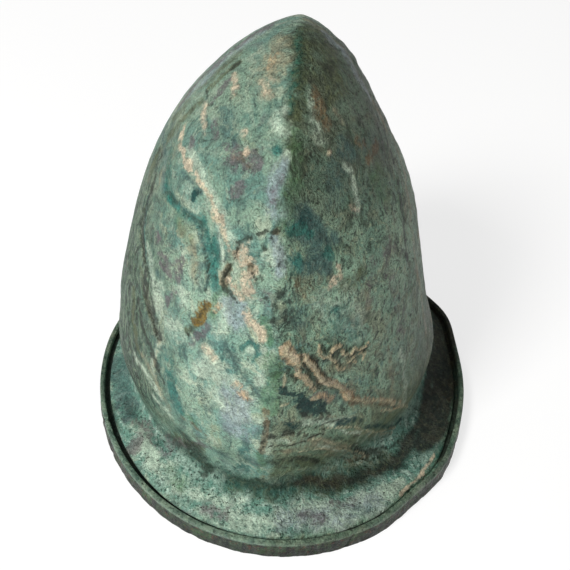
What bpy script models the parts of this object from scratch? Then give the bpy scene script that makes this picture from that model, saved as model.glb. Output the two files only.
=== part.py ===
"""Bronze helmet with a keeled crown on a flared brim, cast and hammered in one piece.

Metres, with +Z up and the front towards -Y. The origin is in the middle of the rim, on the face that the
helmet stands on. The outside runs from the foot up the lip, down into the groove, up the brim through the
throat and over the crown. The inside follows it, one wall's thickness away, and is open below.
"""
from collections import namedtuple
from math import radians

import bpy
import numpy as np

# Overall sizes
RIM_WIDTH = 0.220
RIM_LENGTH = 0.238
HEIGHT = 0.232

# Crown: its size at the throat follows from how far the rim stands out past it
THROAT_HEIGHT = 0.026
SIDE_OVERHANG = 0.026
FRONT_OVERHANG = 0.028
CROWN_WIDTH = RIM_WIDTH - 2 * SIDE_OVERHANG
CROWN_LENGTH = RIM_LENGTH - 2 * FRONT_OVERHANG
CROWN_WALL = 0.0015

# Brim, groove, lip and foot
BRIM_WALL = 0.0020
BRIM_RISE_ANGLE = radians(25)
LIP_HEIGHT = 0.012
LIP_THICKNESS = 0.0030
LIP_LEAN = 0.0010
LIP_ROUNDING = 0.0008
LIP_STEP = 0.0020
GROOVE_WIDTH = 0.0026
GROOVE_DEPTH = 0.0040
FOOT_WIDTH = 0.0045

# The keel's sharpness, from 0 for a plain ellipse to 1 for two flat faces that meet in an edge
KEEL_AT_THROAT = 0.60
KEEL_AT_TOP = 0.50

# How the crown closes towards its top: half sizes follow (1 - height share ^ fullness) ^ rounding
SIDE_FULLNESS = 1.6
SIDE_ROUNDING = 0.62
END_FULLNESS = 2.2
END_ROUNDING = 0.50

# The crown's sections, from the throat to the top. Height is a share of the crown's own height. Left and
# right are shares of half the crown's width, front and back of half its length, before it closes as above.
# Lean is the section's sideways shift, as a share of the crown's width. The crown swells over the throat
# and isn't even: its left flank is full, its right flank is flattened, and the keel's foot leans left.
Section = namedtuple("Section", "height left right front back lean")
SECTIONS = (
    Section(0.00, 1.00, 1.05, 1.00, 1.01, -0.040),
    Section(0.10, 1.04, 1.12, 1.05, 1.06, -0.048),
    Section(0.24, 1.07, 1.07, 1.08, 1.09, -0.042),
    Section(0.42, 1.12, 1.03, 1.08, 1.09, -0.027),
    Section(0.62, 1.18, 1.07, 1.07, 1.08, -0.025),
    Section(0.82, 1.25, 1.05, 1.05, 1.05, -0.018),
    Section(1.00, 1.24, 1.05, 1.03, 1.03, 0.000),
)

# Places where the lip was bent. Bearing is in degrees from the front towards +X, reach is half the bent
# stretch in degrees, and push is outward, as a share of the lip's thickness.
Bend = namedtuple("Bend", "bearing reach push")
LIP_BENDS = (
    Bend(113, 9, 1.3),
    Bend(57, 8, 0.35),
    Bend(43, 8, -0.5),
    Bend(-112, 10, -0.5),
)

# How finely the surface is faceted
COLUMNS = 72
CROWN_ROWS = 22
BRIM_ROWS = 7


def smooth_curve(knots, values, at):
    """Read a curve that passes through every value, without corners, at the given places."""
    slopes = np.gradient(values, knots)
    span = np.clip(np.searchsorted(knots, at, side="right") - 1, 0, len(knots) - 2)
    length = knots[span + 1] - knots[span]
    t = (at - knots[span]) / length
    start = (1 + 2 * t) * (1 - t) ** 2 * values[span] + t * (1 - t) ** 2 * length * slopes[span]
    end = t * t * (3 - 2 * t) * values[span + 1] - t * t * (1 - t) * length * slopes[span + 1]
    return start + end


def keeled_outline(angle, left, right, front, back, keel):
    """Return x and y of a section that is pointed at the front and back and round at the sides.

    With side = |x| / half width, the outline is y = half length * sqrt(1 - keel * side - (1 - keel) * side^2).
    """
    across, along = np.sin(angle), np.cos(angle)
    half_width = np.where(across > 0, right, left)
    half_length = np.where(along > 0, front, back)
    square = along ** 2 / half_length ** 2 + (1 - keel) * across ** 2 / half_width ** 2
    linear = keel * np.abs(across) / half_width
    radius = (np.sqrt(linear ** 2 + 4 * square) - linear) / (2 * square)
    return radius * across, -radius * along


def crown_rows(angle):
    """Return the crown's outer rows, from the throat to just below the top, closer together near the top."""
    step = np.linspace(0, 1, CROWN_ROWS + 1)[:-1]
    share = 1 - (1 - step) ** 1.7
    table = np.array(SECTIONS).T
    left, right, front, back, lean = (smooth_curve(table[0], column, share)[:, None] for column in table[1:])
    share = share[:, None]
    side = (1 - share ** SIDE_FULLNESS) ** SIDE_ROUNDING * CROWN_WIDTH / 2
    ends = (1 - share ** END_FULLNESS) ** END_ROUNDING * CROWN_LENGTH / 2
    keel = KEEL_AT_THROAT + (KEEL_AT_TOP - KEEL_AT_THROAT) * share
    x, y = keeled_outline(angle, left * side, right * side, front * ends, back * ends, keel)
    z = THROAT_HEIGHT + (HEIGHT - THROAT_HEIGHT) * share
    return np.stack([x + lean * CROWN_WIDTH, y, np.broadcast_to(z, x.shape)], axis=-1)


def lip_push(angle):
    """Return how far the bent places push the lip outward, in metres, at each angle."""
    push = np.zeros_like(angle)
    for bend in LIP_BENDS:
        away = (angle - radians(bend.bearing) + np.pi) % (2 * np.pi) - np.pi
        push += bend.push * LIP_THICKNESS * np.exp(-(away / radians(bend.reach)) ** 2)
    return push


def rim_row(angle, inset, height):
    """Return one ring that follows the rim's oval, this far inside its outline and this high."""
    inset = inset - lip_push(angle)
    x = (RIM_WIDTH / 2 - inset) * np.sin(angle)
    y = -(RIM_LENGTH / 2 - inset) * np.cos(angle)
    return np.stack([x, y, np.full_like(angle, height)], axis=-1)


def lip_rows(angle):
    """Return the rows from the foot's outer edge up over the lip and down to the groove's floor."""
    lip_inside = LIP_LEAN + LIP_THICKNESS
    groove_floor = LIP_HEIGHT - GROOVE_DEPTH
    profile = (
        (0, 0),
        (LIP_LEAN / 2, LIP_HEIGHT / 2),
        (LIP_LEAN, LIP_HEIGHT - LIP_ROUNDING),
        (LIP_LEAN + LIP_ROUNDING, LIP_HEIGHT),
        (lip_inside - LIP_ROUNDING, LIP_HEIGHT),
        (lip_inside, LIP_HEIGHT - LIP_ROUNDING),
        (lip_inside, groove_floor),
        (lip_inside + GROOVE_WIDTH, groove_floor),
    )
    return np.stack([rim_row(angle, inset, height) for inset, height in profile])


def brim_rows(angle, crown):
    """Return the brim's outer rows, a hollow curve from its edge by the groove up to the throat.

    Each column is a cubic Bezier curve. It leaves the edge at the brim's rise angle and meets the throat
    along the crown's own slope there.
    """
    edge = rim_row(angle, LIP_LEAN + LIP_THICKNESS + GROOVE_WIDTH, LIP_HEIGHT - LIP_STEP)
    throat = crown[0]
    slope = crown[1] - throat
    slope /= np.linalg.norm(slope, axis=-1, keepdims=True)
    reach = np.linalg.norm(throat - edge, axis=-1, keepdims=True)
    inward = (throat - edge) * (1, 1, 0)
    inward /= np.linalg.norm(inward, axis=-1, keepdims=True)
    rise = inward * np.cos(BRIM_RISE_ANGLE) + np.array((0, 0, np.sin(BRIM_RISE_ANGLE)))
    low_handle = edge + 0.40 * reach * rise
    high_handle = throat - 0.42 * reach * slope
    t = np.linspace(0, 1, BRIM_ROWS + 1)[:-1, None, None]
    curve = (1 - t) ** 3 * edge + 3 * t * (1 - t) ** 2 * low_handle
    return curve + 3 * t ** 2 * (1 - t) * high_handle + t ** 3 * throat


def inner_rows(angle, outside, wall):
    """Return the inside's rows, from the foot's inner edge to just below the top.

    The brim and crown are set in along their normals by the wall. Under the groove the metal keeps the
    brim's thickness, and below that it is as wide as the foot.
    """
    around = np.roll(outside, -1, axis=1) - np.roll(outside, 1, axis=1)
    up = np.gradient(outside, axis=0)
    normal = np.cross(around, up)
    normal /= np.linalg.norm(normal, axis=-1, keepdims=True)
    inside = outside - normal * wall[:, None, None]
    under_groove = LIP_HEIGHT - GROOVE_DEPTH - BRIM_WALL
    bend = under_groove - BRIM_WALL / 2
    brim_edge = LIP_LEAN + LIP_THICKNESS + GROOVE_WIDTH
    foot = np.stack([
        rim_row(angle, FOOT_WIDTH, 0),
        rim_row(angle, FOOT_WIDTH, bend),
        rim_row(angle, FOOT_WIDTH + BRIM_WALL / 2, under_groove),
        rim_row(angle, brim_edge + BRIM_WALL / 2, under_groove),
    ])
    return np.concatenate([foot, inside[2:]])


def closed_mesh(name, rows, first_pole, last_pole):
    """Make a mesh from stacked rings, closed at both ends by fans to a point, with its faces pointing out."""
    count, columns = rows.shape[:2]
    points = np.concatenate([rows.reshape(-1, 3), [first_pole, last_pole]])
    ring = np.arange(columns)
    after = np.roll(ring, -1)
    start = np.arange(count - 1)[:, None] * columns
    quads = np.stack([start + ring, start + after, start + columns + after, start + columns + ring], axis=-1)
    top = (count - 1) * columns
    first = np.full(columns, count * columns)
    first_fan = np.stack([first, after, ring], axis=-1)
    last_fan = np.stack([first + 1, top + ring, top + after], axis=-1)
    faces = quads.reshape(-1, 4).tolist() + first_fan.tolist() + last_fan.tolist()
    mesh = bpy.data.meshes.new(name)
    mesh.from_pydata(points.tolist(), [], faces)
    mesh.shade_smooth()
    mesh.set_sharp_from_angle(angle=radians(30))
    return mesh


def bronze_material():
    """Return old bronze under a green patina: dull, and metallic only in part."""
    material = bpy.data.materials.new("patinated_bronze")
    material.use_nodes = True
    surface = material.node_tree.nodes["Principled BSDF"]
    surface.inputs["Base Color"].default_value = (0.17, 0.26, 0.21, 1)
    surface.inputs["Roughness"].default_value = 0.7
    surface.inputs["Metallic"].default_value = 0.2
    return material


def helmet_shell():
    """Make the whole helmet as one closed shell."""
    angle = np.arange(COLUMNS) * 2 * np.pi / COLUMNS
    crown = crown_rows(angle)
    brim = brim_rows(angle, crown)
    skin = np.concatenate([brim, crown])
    wall = np.full(len(skin), CROWN_WALL)
    wall[:BRIM_ROWS] = np.linspace(BRIM_WALL, CROWN_WALL, BRIM_ROWS)
    inside = inner_rows(angle, skin, wall)
    outside = np.concatenate([lip_rows(angle), skin])
    top = np.array((SECTIONS[-1].lean * CROWN_WIDTH, 0, HEIGHT))
    inner_top = top - (0, 0, 1.6 * CROWN_WALL)
    rows = np.concatenate([inside[::-1], outside])
    shell = bpy.data.objects.new("helmet_shell", closed_mesh("helmet_shell", rows, inner_top, top))
    shell.data.materials.append(bronze_material())
    bpy.context.collection.objects.link(shell)
    return shell


for leftover in list(bpy.data.objects):
    bpy.data.objects.remove(leftover)
helmet_shell()
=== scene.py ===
# %% [markdown]
# # A keeled bronze helmet under its patina
# The real helmet is one piece of cast and hammered bronze: a tall crown with a keel over the middle, a
# drawn-in throat, a dished brim, and an upright lip behind a narrow groove. Two thousand years in the
# ground have turned its skin into layers of green, blue, cream and brown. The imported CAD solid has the
# right size and form, but few faces. So this lesson rebuilds the same surface far more finely, works
# the wear and corrosion into the mesh itself, and paints the layers of patina on it with noise-edged
# masks.

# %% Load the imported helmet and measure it
from collections import namedtuple
from math import cos, pi, radians, sin

import bpy
import numpy as np
from mathutils import Matrix, Vector


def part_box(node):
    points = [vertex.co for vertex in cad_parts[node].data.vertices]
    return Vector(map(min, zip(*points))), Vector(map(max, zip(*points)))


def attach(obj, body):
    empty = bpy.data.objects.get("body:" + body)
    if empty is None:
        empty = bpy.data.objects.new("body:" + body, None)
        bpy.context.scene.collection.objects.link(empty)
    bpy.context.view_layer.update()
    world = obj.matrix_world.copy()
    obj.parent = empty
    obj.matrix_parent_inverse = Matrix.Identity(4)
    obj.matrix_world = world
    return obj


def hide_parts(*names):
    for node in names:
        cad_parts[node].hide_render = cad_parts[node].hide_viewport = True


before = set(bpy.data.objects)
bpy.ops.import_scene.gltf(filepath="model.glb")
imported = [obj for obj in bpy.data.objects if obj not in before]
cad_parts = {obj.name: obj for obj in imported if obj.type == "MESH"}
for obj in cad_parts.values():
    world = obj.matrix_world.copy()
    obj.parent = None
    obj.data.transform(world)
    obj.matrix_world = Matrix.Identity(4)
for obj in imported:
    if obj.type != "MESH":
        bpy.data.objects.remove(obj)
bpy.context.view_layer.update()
low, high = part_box("helmet_shell")
RIM_WIDTH, RIM_LENGTH, HEIGHT = high - low
print("rim", round(RIM_WIDTH, 4), "by", round(RIM_LENGTH, 4), "m, height", round(HEIGHT, 4), "m")

# %% [markdown]
# ## The camera
# The camera comes first, because the marks on the bronze are placed by where they show in its picture.
# It looks down at about 45 degrees on the front of the helmet, turned slightly on its own axis. A
# camera could be aimed with a constraint, but then its turn about its own axis is awkward, so its three
# axes are worked out here and go straight into its matrix.

# %% Place the camera
# Look right and look up are how far the camera is moved across its own view, in metres.
ELEVATION = radians(45.42)
AZIMUTH = radians(0.06)
ROLL = radians(2.99)
DISTANCE = 0.50854
LOOK_RIGHT = 0.00151
LOOK_UP = 0.0556
PICTURE = 570
FOCAL_PIXELS = 824.63
SENSOR_MM = 36

view_back = np.array((sin(AZIMUTH) * cos(ELEVATION), -cos(AZIMUTH) * cos(ELEVATION), sin(ELEVATION)))
level_right = np.array((cos(AZIMUTH), sin(AZIMUTH), 0))
level_up = np.cross(view_back, level_right)
view_right = cos(ROLL) * level_right + sin(ROLL) * level_up
view_up = cos(ROLL) * level_up - sin(ROLL) * level_right
view_from = view_back * DISTANCE + view_right * LOOK_RIGHT + view_up * LOOK_UP

camera = bpy.data.objects.new("camera", bpy.data.cameras.new("camera"))
bpy.context.collection.objects.link(camera)
camera.data.sensor_width = SENSOR_MM
camera.data.lens = FOCAL_PIXELS / PICTURE * SENSOR_MM
view_axes = Matrix(np.array((view_right, view_up, view_back)).T)
camera.matrix_world = Matrix.Translation(view_from) @ view_axes.to_4x4()
bpy.context.scene.camera = camera
print("camera", round(camera.data.lens, 1), "mm lens at", np.round(view_from, 3))


# %% See where a point lands in the picture
def in_picture(points):
    """Return each point's column and row in the picture, and its depth.

    Column and row are the focal length times the point's place across and up the view, over its depth.
    """
    away = points - view_from
    depth = -(away @ view_back)
    across = PICTURE / 2 + FOCAL_PIXELS * (away @ view_right) / depth
    down = PICTURE / 2 - FOCAL_PIXELS * (away @ view_up) / depth
    return np.stack([across, down], axis=-1), depth


# %% [markdown]
# ## The crown, brim and lip as surfaces
# A form like this could be modelled from a box with a subdivision surface, but the two hollow curves
# where the crown becomes the brim are easier to hold in formulas. Every point has a bearing around the
# helmet and a place along a profile that runs from the foot up the lip, over the groove and the brim,
# and up the crown.

# %% Name the sizes
# Lengths are in metres.
THROAT_HEIGHT = 0.026
SIDE_OVERHANG = 0.026
FRONT_OVERHANG = 0.028
CROWN_WIDTH = RIM_WIDTH - 2 * SIDE_OVERHANG
CROWN_LENGTH = RIM_LENGTH - 2 * FRONT_OVERHANG
CROWN_WALL = 0.0015
BRIM_WALL = 0.0020
BRIM_RISE_ANGLE = radians(25)
LIP_HEIGHT = 0.012
LIP_THICKNESS = 0.0030
LIP_LEAN = 0.0010
LIP_STEP = 0.0020
GROOVE_WIDTH = 0.0026
GROOVE_DEPTH = 0.0040
GROOVE_FILL = 0.60
GROOVE_FILL_BEARING = radians(8)
GROOVE_FILL_REACH = radians(52)
FOOT_WIDTH = 0.0045
KEEL_AT_THROAT = 0.60
KEEL_AT_TOP = 0.50
SIDE_FULLNESS = 1.6
SIDE_ROUNDING = 0.62
END_FULLNESS = 2.2
END_ROUNDING = 0.50

# Height is a share of the crown's own height. Left and right are shares of half its width, front and
# back of half its length, and lean is a sideways shift as a share of its width.
Section = namedtuple("Section", "height left right front back lean")
SECTIONS = (
    Section(0.00, 1.00, 1.05, 1.00, 1.01, -0.040),
    Section(0.10, 1.04, 1.12, 1.05, 1.06, -0.048),
    Section(0.24, 1.07, 1.07, 1.08, 1.09, -0.042),
    Section(0.42, 1.12, 1.03, 1.08, 1.09, -0.027),
    Section(0.62, 1.18, 1.07, 1.07, 1.08, -0.025),
    Section(0.82, 1.25, 1.05, 1.05, 1.05, -0.018),
    Section(1.00, 1.24, 1.05, 1.03, 1.03, 0.000),
)

# Bearing is in degrees from the front towards +X, reach is half the bent stretch in degrees, and push
# is outward, as a share of the lip's thickness.
Bend = namedtuple("Bend", "bearing reach push")
LIP_BENDS = (
    Bend(113, 9, 1.3),
    Bend(57, 8, 0.35),
    Bend(43, 8, -0.5),
    Bend(-112, 10, -0.5),
)

# The first step up the crown that the brim's curve lines up with, as a share of the crown's height
THROAT_STEP = 0.076

COLUMNS = 328
FRONT_CROWDING = 0.40
CROWN_ROWS = 180
BRIM_ROWS = 28
INNER_STEP = 4
print("crown", round(CROWN_WIDTH, 4), "by", round(CROWN_LENGTH, 4), "m at the throat")

# %% Spread the columns around the helmet
# The bearing is the turn less a sine of it. So the columns crowd together in front, where most marks
# are.
turn = np.arange(COLUMNS) / COLUMNS * 2 * pi
angle = turn - FRONT_CROWDING * np.sin(turn)
print("columns are", round(np.degrees(angle[1]), 2), "degrees apart in front and",
      round(np.degrees(angle[COLUMNS // 2] - angle[COLUMNS // 2 - 1]), 2), "behind")


# %% Work out the crown
def smooth_curve(knots, values, at):
    """Read a curve that passes through every value without corners.

    Its pieces are cubics, whose slopes at the knots are the differences of the values there.
    """
    slopes = np.gradient(values, knots)
    span = np.clip(np.searchsorted(knots, at, side="right") - 1, 0, len(knots) - 2)
    length = knots[span + 1] - knots[span]
    t = (at - knots[span]) / length
    start = (1 + 2 * t) * (1 - t) ** 2 * values[span] + t * (1 - t) ** 2 * length * slopes[span]
    end = t * t * (3 - 2 * t) * values[span + 1] - t * t * (1 - t) * length * slopes[span + 1]
    return start + end


def keeled_outline(angle, left, right, front, back, keel):
    """Return x and y of a section that is pointed in front and behind, and round at the sides.

    With side = |x| / half width, y is half the length times the square root of
    1 - keel * side - (1 - keel) * side^2.
    """
    across, along = np.sin(angle), np.cos(angle)
    half_width = np.where(across > 0, right, left)
    half_length = np.where(along > 0, front, back)
    square = along ** 2 / half_length ** 2 + (1 - keel) * across ** 2 / half_width ** 2
    linear = keel * np.abs(across) / half_width
    radius = (np.sqrt(linear ** 2 + 4 * square) - linear) / (2 * square)
    return radius * across, -radius * along


def crown_surface(angle, share):
    """Return the crown's points at these bearings and shares of its height.

    Its half width closes upward as (1 - share ^ fullness) ^ rounding, and so does its half length.
    """
    table = np.array(SECTIONS).T
    curves = [smooth_curve(table[0], column, share)[:, None] for column in table[1:]]
    left, right, front, back, lean = curves
    share = share[:, None]
    side = (1 - share ** SIDE_FULLNESS) ** SIDE_ROUNDING * CROWN_WIDTH / 2
    ends = (1 - share ** END_FULLNESS) ** END_ROUNDING * CROWN_LENGTH / 2
    keel = KEEL_AT_THROAT + (KEEL_AT_TOP - KEEL_AT_THROAT) * share
    x, y = keeled_outline(angle, left * side, right * side, front * ends, back * ends, keel)
    z = THROAT_HEIGHT + (HEIGHT - THROAT_HEIGHT) * share
    return np.stack([x + lean * CROWN_WIDTH, y, np.broadcast_to(z, x.shape)], axis=-1)


def even_shares(rows):
    """Return height shares whose rows are equally far apart on the surface, as a mean over four sides."""
    fine = np.linspace(0, 1, 4001)[:-1]
    sides = crown_surface(np.radians((0, 90, 180, 270)), fine)
    steps = np.linalg.norm(np.diff(sides, axis=0), axis=-1).mean(axis=1)
    length = np.concatenate([[0], np.cumsum(steps)])
    return np.interp(np.linspace(0, length[-1], rows + 1)[:-1], length, fine), length[-1]


share, crown_length = even_shares(CROWN_ROWS)
crown = crown_surface(angle, share)
row_gap = 1000 * crown_length / CROWN_ROWS
print("crown rows", round(row_gap, 2), "mm apart over", round(crown_length, 3), "m")


# %% Work out the lip and the groove
def angle_from_front(angle):
    """Return the bearing as an angle from -pi to pi, which is 0 at the front."""
    return (angle + pi) % (2 * pi) - pi


def lip_push(angle):
    """Return how far the bent places push the lip outward: a bell curve of the bearing for each place."""
    push = np.zeros_like(angle)
    for bend in LIP_BENDS:
        away = angle_from_front(angle - radians(bend.bearing))
        push += bend.push * LIP_THICKNESS * np.exp(-(away / radians(bend.reach)) ** 2)
    return push


def groove_share(angle):
    """Return how much of the groove is left open at each bearing: in front, soil has closed in on it.

    The closed share is a bell curve of the bearing with a flat middle, because its power is 6 instead of 2.
    """
    away = angle_from_front(angle) - GROOVE_FILL_BEARING
    return 1 - GROOVE_FILL * np.exp(-(away / GROOVE_FILL_REACH) ** 6)


def rim_rows(angle, profile):
    """Return rings that follow the rim's oval: its half width and half length less the ring's inset.

    The profile lists how far inside the oval each ring is, and how high.
    """
    inset, height = np.array(profile).T[:, :, None]
    past_lip = np.maximum(inset - LIP_LEAN - LIP_THICKNESS, 0)
    inset = inset - past_lip * (1 - groove_share(angle)) - lip_push(angle)
    x = (RIM_WIDTH / 2 - inset) * np.sin(angle)
    y = -(RIM_LENGTH / 2 - inset) * np.cos(angle)
    return np.stack([x, y, np.broadcast_to(height, x.shape)], axis=-1)


def rounded_profile(corners, spacing):
    """Return a profile through corners of (inset, height, rounding), each replaced by a small curve.

    The curve at a corner is a quadratic Bezier curve that starts and ends one rounding away from it, with
    more points on a wide one. The straight stretches are cut into pieces no longer than the spacing.
    """
    corners = np.array(corners)
    place, rounding = corners[:, :2], corners[:, 2]
    path = [place[:1]]
    for k in range(1, len(place) - 1):
        before, after = place[k - 1] - place[k], place[k + 1] - place[k]
        start = place[k] + before / np.linalg.norm(before) * rounding[k]
        end = place[k] + after / np.linalg.norm(after) * rounding[k]
        t = np.linspace(0, 1, 5 if rounding[k] > 0.0005 else 3)[:, None]
        path.append((1 - t) ** 2 * start + 2 * t * (1 - t) * place[k] + t ** 2 * end)
    path = np.concatenate(path + [place[-1:]])
    pieces = [path[:1]]
    for start, end in zip(path[:-1], path[1:]):
        count = max(1, int(np.ceil(np.linalg.norm(end - start) / spacing)))
        t = np.arange(1, count + 1)[:, None] / count
        pieces.append(start + (end - start) * t)
    return np.concatenate(pieces)


lip_inside = LIP_LEAN + LIP_THICKNESS
brim_edge = lip_inside + GROOVE_WIDTH
groove_floor = LIP_HEIGHT - GROOVE_DEPTH
SHARP_EDGE = 0.0004
WORN_EDGE = 0.0012
EDGE_RUN = 0.0006
LIP_PROFILE = rounded_profile((
    (EDGE_RUN, 0, 0),
    (0, 0, SHARP_EDGE),
    (LIP_LEAN, LIP_HEIGHT, WORN_EDGE),
    (lip_inside, LIP_HEIGHT, WORN_EDGE),
    (lip_inside, groove_floor, SHARP_EDGE),
    (brim_edge, groove_floor, SHARP_EDGE),
    (brim_edge, LIP_HEIGHT - LIP_STEP - EDGE_RUN, 0),
), spacing=0.0013)
lip = rim_rows(angle, LIP_PROFILE)
print("lip profile has", len(LIP_PROFILE), "points")


# %% Work out the brim
BRIM_EDGE_BEVEL = 0.0003
LOW_HANDLE = 0.40
HIGH_HANDLE = 0.42


def brim_surface(angle, rows):
    """Return the brim from its edge to the throat: a cubic Bezier curve for each bearing.

    It leaves the edge at the brim's rise angle and meets the throat along the crown's own slope.
    """
    edge = rim_rows(angle, [(brim_edge + BRIM_EDGE_BEVEL, LIP_HEIGHT - LIP_STEP)])[0]
    throat, above = crown_surface(angle, np.array((0, THROAT_STEP)))
    slope = (above - throat) / np.linalg.norm(above - throat, axis=-1, keepdims=True)
    reach = np.linalg.norm(throat - edge, axis=-1, keepdims=True)
    inward = (throat - edge) * (1, 1, 0)
    inward /= np.linalg.norm(inward, axis=-1, keepdims=True)
    rise = inward * cos(BRIM_RISE_ANGLE) + np.array((0, 0, sin(BRIM_RISE_ANGLE)))
    low_handle = edge + LOW_HANDLE * reach * rise
    high_handle = throat - HIGH_HANDLE * reach * slope
    t = np.linspace(0, 1, rows + 1)[:-1, None, None]
    curve = (1 - t) ** 3 * edge + 3 * t * (1 - t) ** 2 * low_handle
    return curve + 3 * t ** 2 * (1 - t) * high_handle + t ** 3 * throat


def eased(rows, middle, reach, times):
    """Soften a crease along one row: the rows within reach move towards the mean of their neighbours."""
    weight = np.clip(1 - np.abs(np.arange(len(rows)) - middle) / reach, 0, 1)[:, None, None]
    for _ in range(times):
        mean = (np.roll(rows, 1, axis=0) + np.roll(rows, -1, axis=0)) / 2
        rows = rows + weight * (mean - rows) * 0.5
    return rows


skin = np.concatenate([brim_surface(angle, BRIM_ROWS), crown])
skin = eased(skin, BRIM_ROWS, reach=12, times=80)
outside = np.concatenate([lip, skin])
LIP_ROWS = len(lip)
print("outside has", outside.shape[0], "rows of", outside.shape[1], "points")


# %% Work out the inside
def outward_normals(rows):
    """Return each point's outward direction: the cross product of the steps around and up the surface."""
    around = np.roll(rows, -1, axis=1) - np.roll(rows, 1, axis=1)
    normal = np.cross(around, np.gradient(rows, axis=0))
    return normal / np.maximum(np.linalg.norm(normal, axis=-1, keepdims=True), 1e-12)


def inner_surface(skin):
    """Return the inside, from the foot's inner edge to the top: the skin set in by the wall.

    It has only one row in every few, because little of it is ever seen.
    """
    wall = np.full(len(skin), CROWN_WALL)
    wall[:BRIM_ROWS] = np.linspace(BRIM_WALL, CROWN_WALL, BRIM_ROWS)
    inside = skin - outward_normals(skin) * wall[:, None, None]
    brim_picks = np.arange(2 * INNER_STEP, BRIM_ROWS, INNER_STEP)
    picked = np.concatenate([brim_picks, np.arange(BRIM_ROWS, len(skin), INNER_STEP)])
    under_groove = groove_floor - BRIM_WALL
    foot = rim_rows(angle, rounded_profile((
        (FOOT_WIDTH - EDGE_RUN, 0, 0),
        (FOOT_WIDTH, 0, SHARP_EDGE),
        (FOOT_WIDTH, under_groove, 2 * SHARP_EDGE),
        (brim_edge + BRIM_WALL / 2, under_groove, 0),
    ), spacing=0.0024))
    return np.concatenate([foot, inside[picked]])


inside = inner_surface(skin)
triangles = 2 * COLUMNS * (len(inside) + len(outside))
print("inside has", len(inside), "rows, and with the outside it makes", triangles, "triangles")


# %% [markdown]
# ## Places on the bronze, read from the picture
# Marks such as a streak or a crust are easiest to name by where they show in the camera's picture, as a
# column and a row in pixels. A flat projection would smear them over the sides, so each one is first
# carried onto the surface: every spot of its path becomes the nearest point of the helmet that faces
# the camera there. From then on only distances on the bronze count, and the mark looks right from any
# side.

# %% Find the surface under a spot of the picture
skin_points = outside.reshape(-1, 3)
skin_normals = outward_normals(outside).reshape(-1, 3)
skin_spots, skin_depth = in_picture(skin_points)
facing = np.flatnonzero(np.sum(skin_normals * (view_from - skin_points), axis=-1) > 0)
SPOT_REACH = 2.5
DEPTH_PER_PIXEL = 10


def on_helmet(spots):
    """Return which outer point shows at each spot: of those within reach the one nearest to the camera.

    Every pixel beyond the reach counts as ten metres of depth, so that such a point is only a last resort.
    """
    gap = np.linalg.norm(skin_spots[facing][None] - spots[:, None], axis=-1)
    rank = skin_depth[facing][None] + np.maximum(gap - SPOT_REACH, 0) * DEPTH_PER_PIXEL
    return facing[np.argmin(rank, axis=1)]


def traced(path, spacing=2.0):
    """Return spots a few pixels apart along straight lines through the path's points."""
    path = np.array(path, float).reshape(-1, 2)
    if len(path) == 1:
        return path
    length = np.concatenate([[0], np.cumsum(np.linalg.norm(np.diff(path, axis=0), axis=-1))])
    at = np.linspace(0, length[-1], max(2, int(length[-1] / spacing) + 1))
    return np.stack([np.interp(at, length, path[:, 0]), np.interp(at, length, path[:, 1])], axis=-1)


print(len(facing), "of", len(skin_points), "outer points face the camera")


# %% Make smooth noise
def noise(points, size, seed, stretch=(1, 1, 1)):
    """Return smooth random values, mostly from -1 to 1, that change over this size in metres.

    It is gradient noise: a random slope at each corner of a cubic grid, blended by t^3 (t (6 t - 15) + 10).
    """
    draw = np.random.default_rng(seed)
    order = draw.permutation(256)
    slopes = draw.normal(size=(256, 3))
    slopes /= np.linalg.norm(slopes, axis=-1, keepdims=True)
    cell = points / (np.array(stretch) * size) + 50
    base = np.floor(cell).astype(int)
    part = cell - base
    fade = part ** 3 * (part * (part * 6 - 15) + 10)
    total = np.zeros(points.shape[:-1])
    for corner in np.ndindex(2, 2, 2):
        x, y, z = np.moveaxis((base + corner) % 256, -1, 0)
        pick = order[(order[(order[x] + y) % 256] + z) % 256]
        weight = np.prod(np.where(np.array(corner) == 1, fade, 1 - fade), axis=-1)
        total += weight * np.sum(slopes[pick] * (part - corner), axis=-1)
    return 1.7 * total


def layered_noise(points, size, seed, layers=3, stretch=(1, 1, 1)):
    """Return noise with finer noise on it: each layer is half the size and strength of the one before."""
    return sum(noise(points, size / 2 ** k, seed + k, stretch) / 2 ** k for k in range(layers))


wander = np.stack([layered_noise(skin_points, 0.010, seed, 2) for seed in (11, 21, 31)], axis=-1)
print("noise runs from", round(wander.min(), 2), "to", round(wander.max(), 2))


# %% Measure how close the skin is to a mark
SPOTS_AT_ONCE = 16


def closeness(path, half_width, raggedness):
    """Return 1 on a mark's middle line, falling evenly to 0 at its edge, for every outer point.

    Half width is in picture pixels at the mark. The distance is taken from points that wander off by a
    share of the half width, so the edges come out uneven. A few spots of the path are measured at a time,
    to save memory.
    """
    picked = on_helmet(traced(path))
    line = skin_points[picked]
    reach = half_width * np.median(skin_depth[picked]) / FOCAL_PIXELS
    boxed = (skin_points > line.min(0) - 2 * reach) & (skin_points < line.max(0) + 2 * reach)
    near = np.flatnonzero(boxed.all(axis=-1))
    moved = skin_points[near] + raggedness * reach * wander[near]
    gap = np.full(len(near), np.inf)
    for start in range(0, len(line), SPOTS_AT_ONCE):
        part = line[start:start + SPOTS_AT_ONCE]
        gap = np.minimum(gap, np.linalg.norm(moved[:, None] - part[None], axis=-1).min(axis=1))
    result = np.zeros(len(skin_points))
    result[near] = np.clip(1 - gap / reach, 0, 1)
    return result


def domed(near):
    """Return closeness as a smooth step, near^2 * (3 - 2 near): flat on the middle line and at the edge."""
    return near * near * (3 - 2 * near)


KEEL_STROKE = ((285, 60), (285, 440))
near_keel = closeness(KEEL_STROKE, 20, 0)
print("a stroke down the keel, 40 pixels wide, covers", int((near_keel > 0).sum()), "outer points")


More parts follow.
